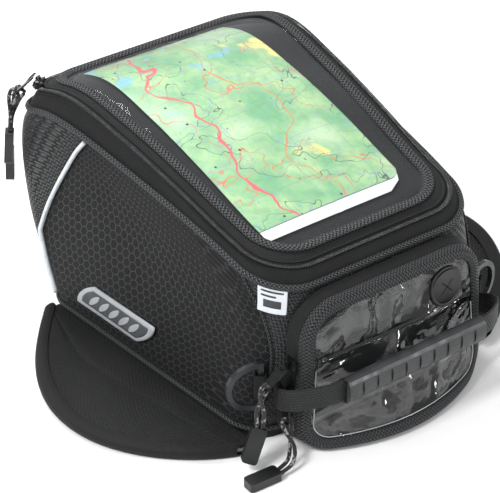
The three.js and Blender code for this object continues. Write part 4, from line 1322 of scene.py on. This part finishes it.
def build_badges():
    for side, sign in SIDES:
        length, height = BADGE["length"], BADGE["height"]
        outer = badge_patch(side, sign, "frame", (length, height), 3.0, 2.4, "badge")
        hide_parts(f"{side}_badge")
        badge_patch(side, sign, "inset", (length - 11, height - 8), 3.3, 1.0, "badge_dark")
        for k in range(5):
            bar = (8, height - 13)
            badge_patch(side, sign, f"bar_{k}", bar, 3.9, 1.0, "badge", (k - 2) * 14.5)


LABEL_MARKS = ((0.12, 0.88, 0.80, 0.86), (0.12, 0.62, 0.62, 0.68), (0.2, 0.8, 0.22, 0.5))


def label_patch(name, box, lift, grid, thickness, material, nodes=()):
    """A patch of the label: box is its left, right, low and high edge, as shares of the label."""

    def at(u, v):
        across = mix(box[0], box[1], u)
        up = mix(box[2], box[3], v)
        p, out = wall_frame(-1.5 + 0.34 * (across - 0.5), mix(0.84, 0.99, up))
        return p + out * lift

    return fit(sheet(name, at, *grid, thickness, M[material]), "shell", nodes)


def build_label():
    whole = (0, 1, 0, 1)
    label_patch("front_label_cloth", whole, 1.6, (24, 20), LABEL_THICK, "label", ["front_label"])
    for k, box in enumerate(LABEL_MARKS):
        label_patch(f"front_label_mark_{k}", box, 1.9, (8, 4), 0.5, "thread")


# ------------------------------------------------------------------ floor and light
def build_stage():
    bpy.ops.mesh.primitive_plane_add(size=14, location=(0, 0, 0))
    floor = bpy.context.object
    floor.name = "floor"
    material = bpy.data.materials.new("floor")
    material.use_nodes = True
    shader = material.node_tree.nodes["Principled BSDF"]
    shader.inputs["Base Color"].default_value = (0.93, 0.93, 0.93, 1)
    shader.inputs["Roughness"].default_value = 0.9
    floor.data.materials.append(material)
    world = bpy.data.worlds.new("studio")
    bpy.context.scene.world = world
    world.use_nodes = True
    background = world.node_tree.nodes["Background"]
    background.inputs["Color"].default_value = (1, 1, 1, 1)
    background.inputs["Strength"].default_value = 0.5
    bpy.context.scene.view_settings.view_transform = "Standard"
    lights = (
        ("key", (-1.3, -0.3, 1.5), 0.5, 30),
        ("front", (0.9, -1.6, 0.7), 0.4, 12),
        ("top", (0.1, 1.1, 1.8), 0.7, 28),
    )
    for name, location, size, power in lights:
        data = bpy.data.lights.new(name, "AREA")
        data.size = size
        data.energy = power
        light = bpy.data.objects.new(name, data)
        bpy.context.scene.collection.objects.link(light)
        light.location = location
        aim = Vector((0, 0, 0.1)) - light.location
        light.rotation_euler = aim.to_track_quat("-Z", "Y").to_euler()


# ------------------------------------------------------------------ assembly
build_walls()
build_seams()
build_base()
build_zip()
build_lid_frame()
build_window()
build_map()
build_gusset()
build_cover()
build_pocket_details()
build_handle()
build_rings()
build_pulls()
build_cords()
build_flaps()
build_badges()
build_label()
build_stage()
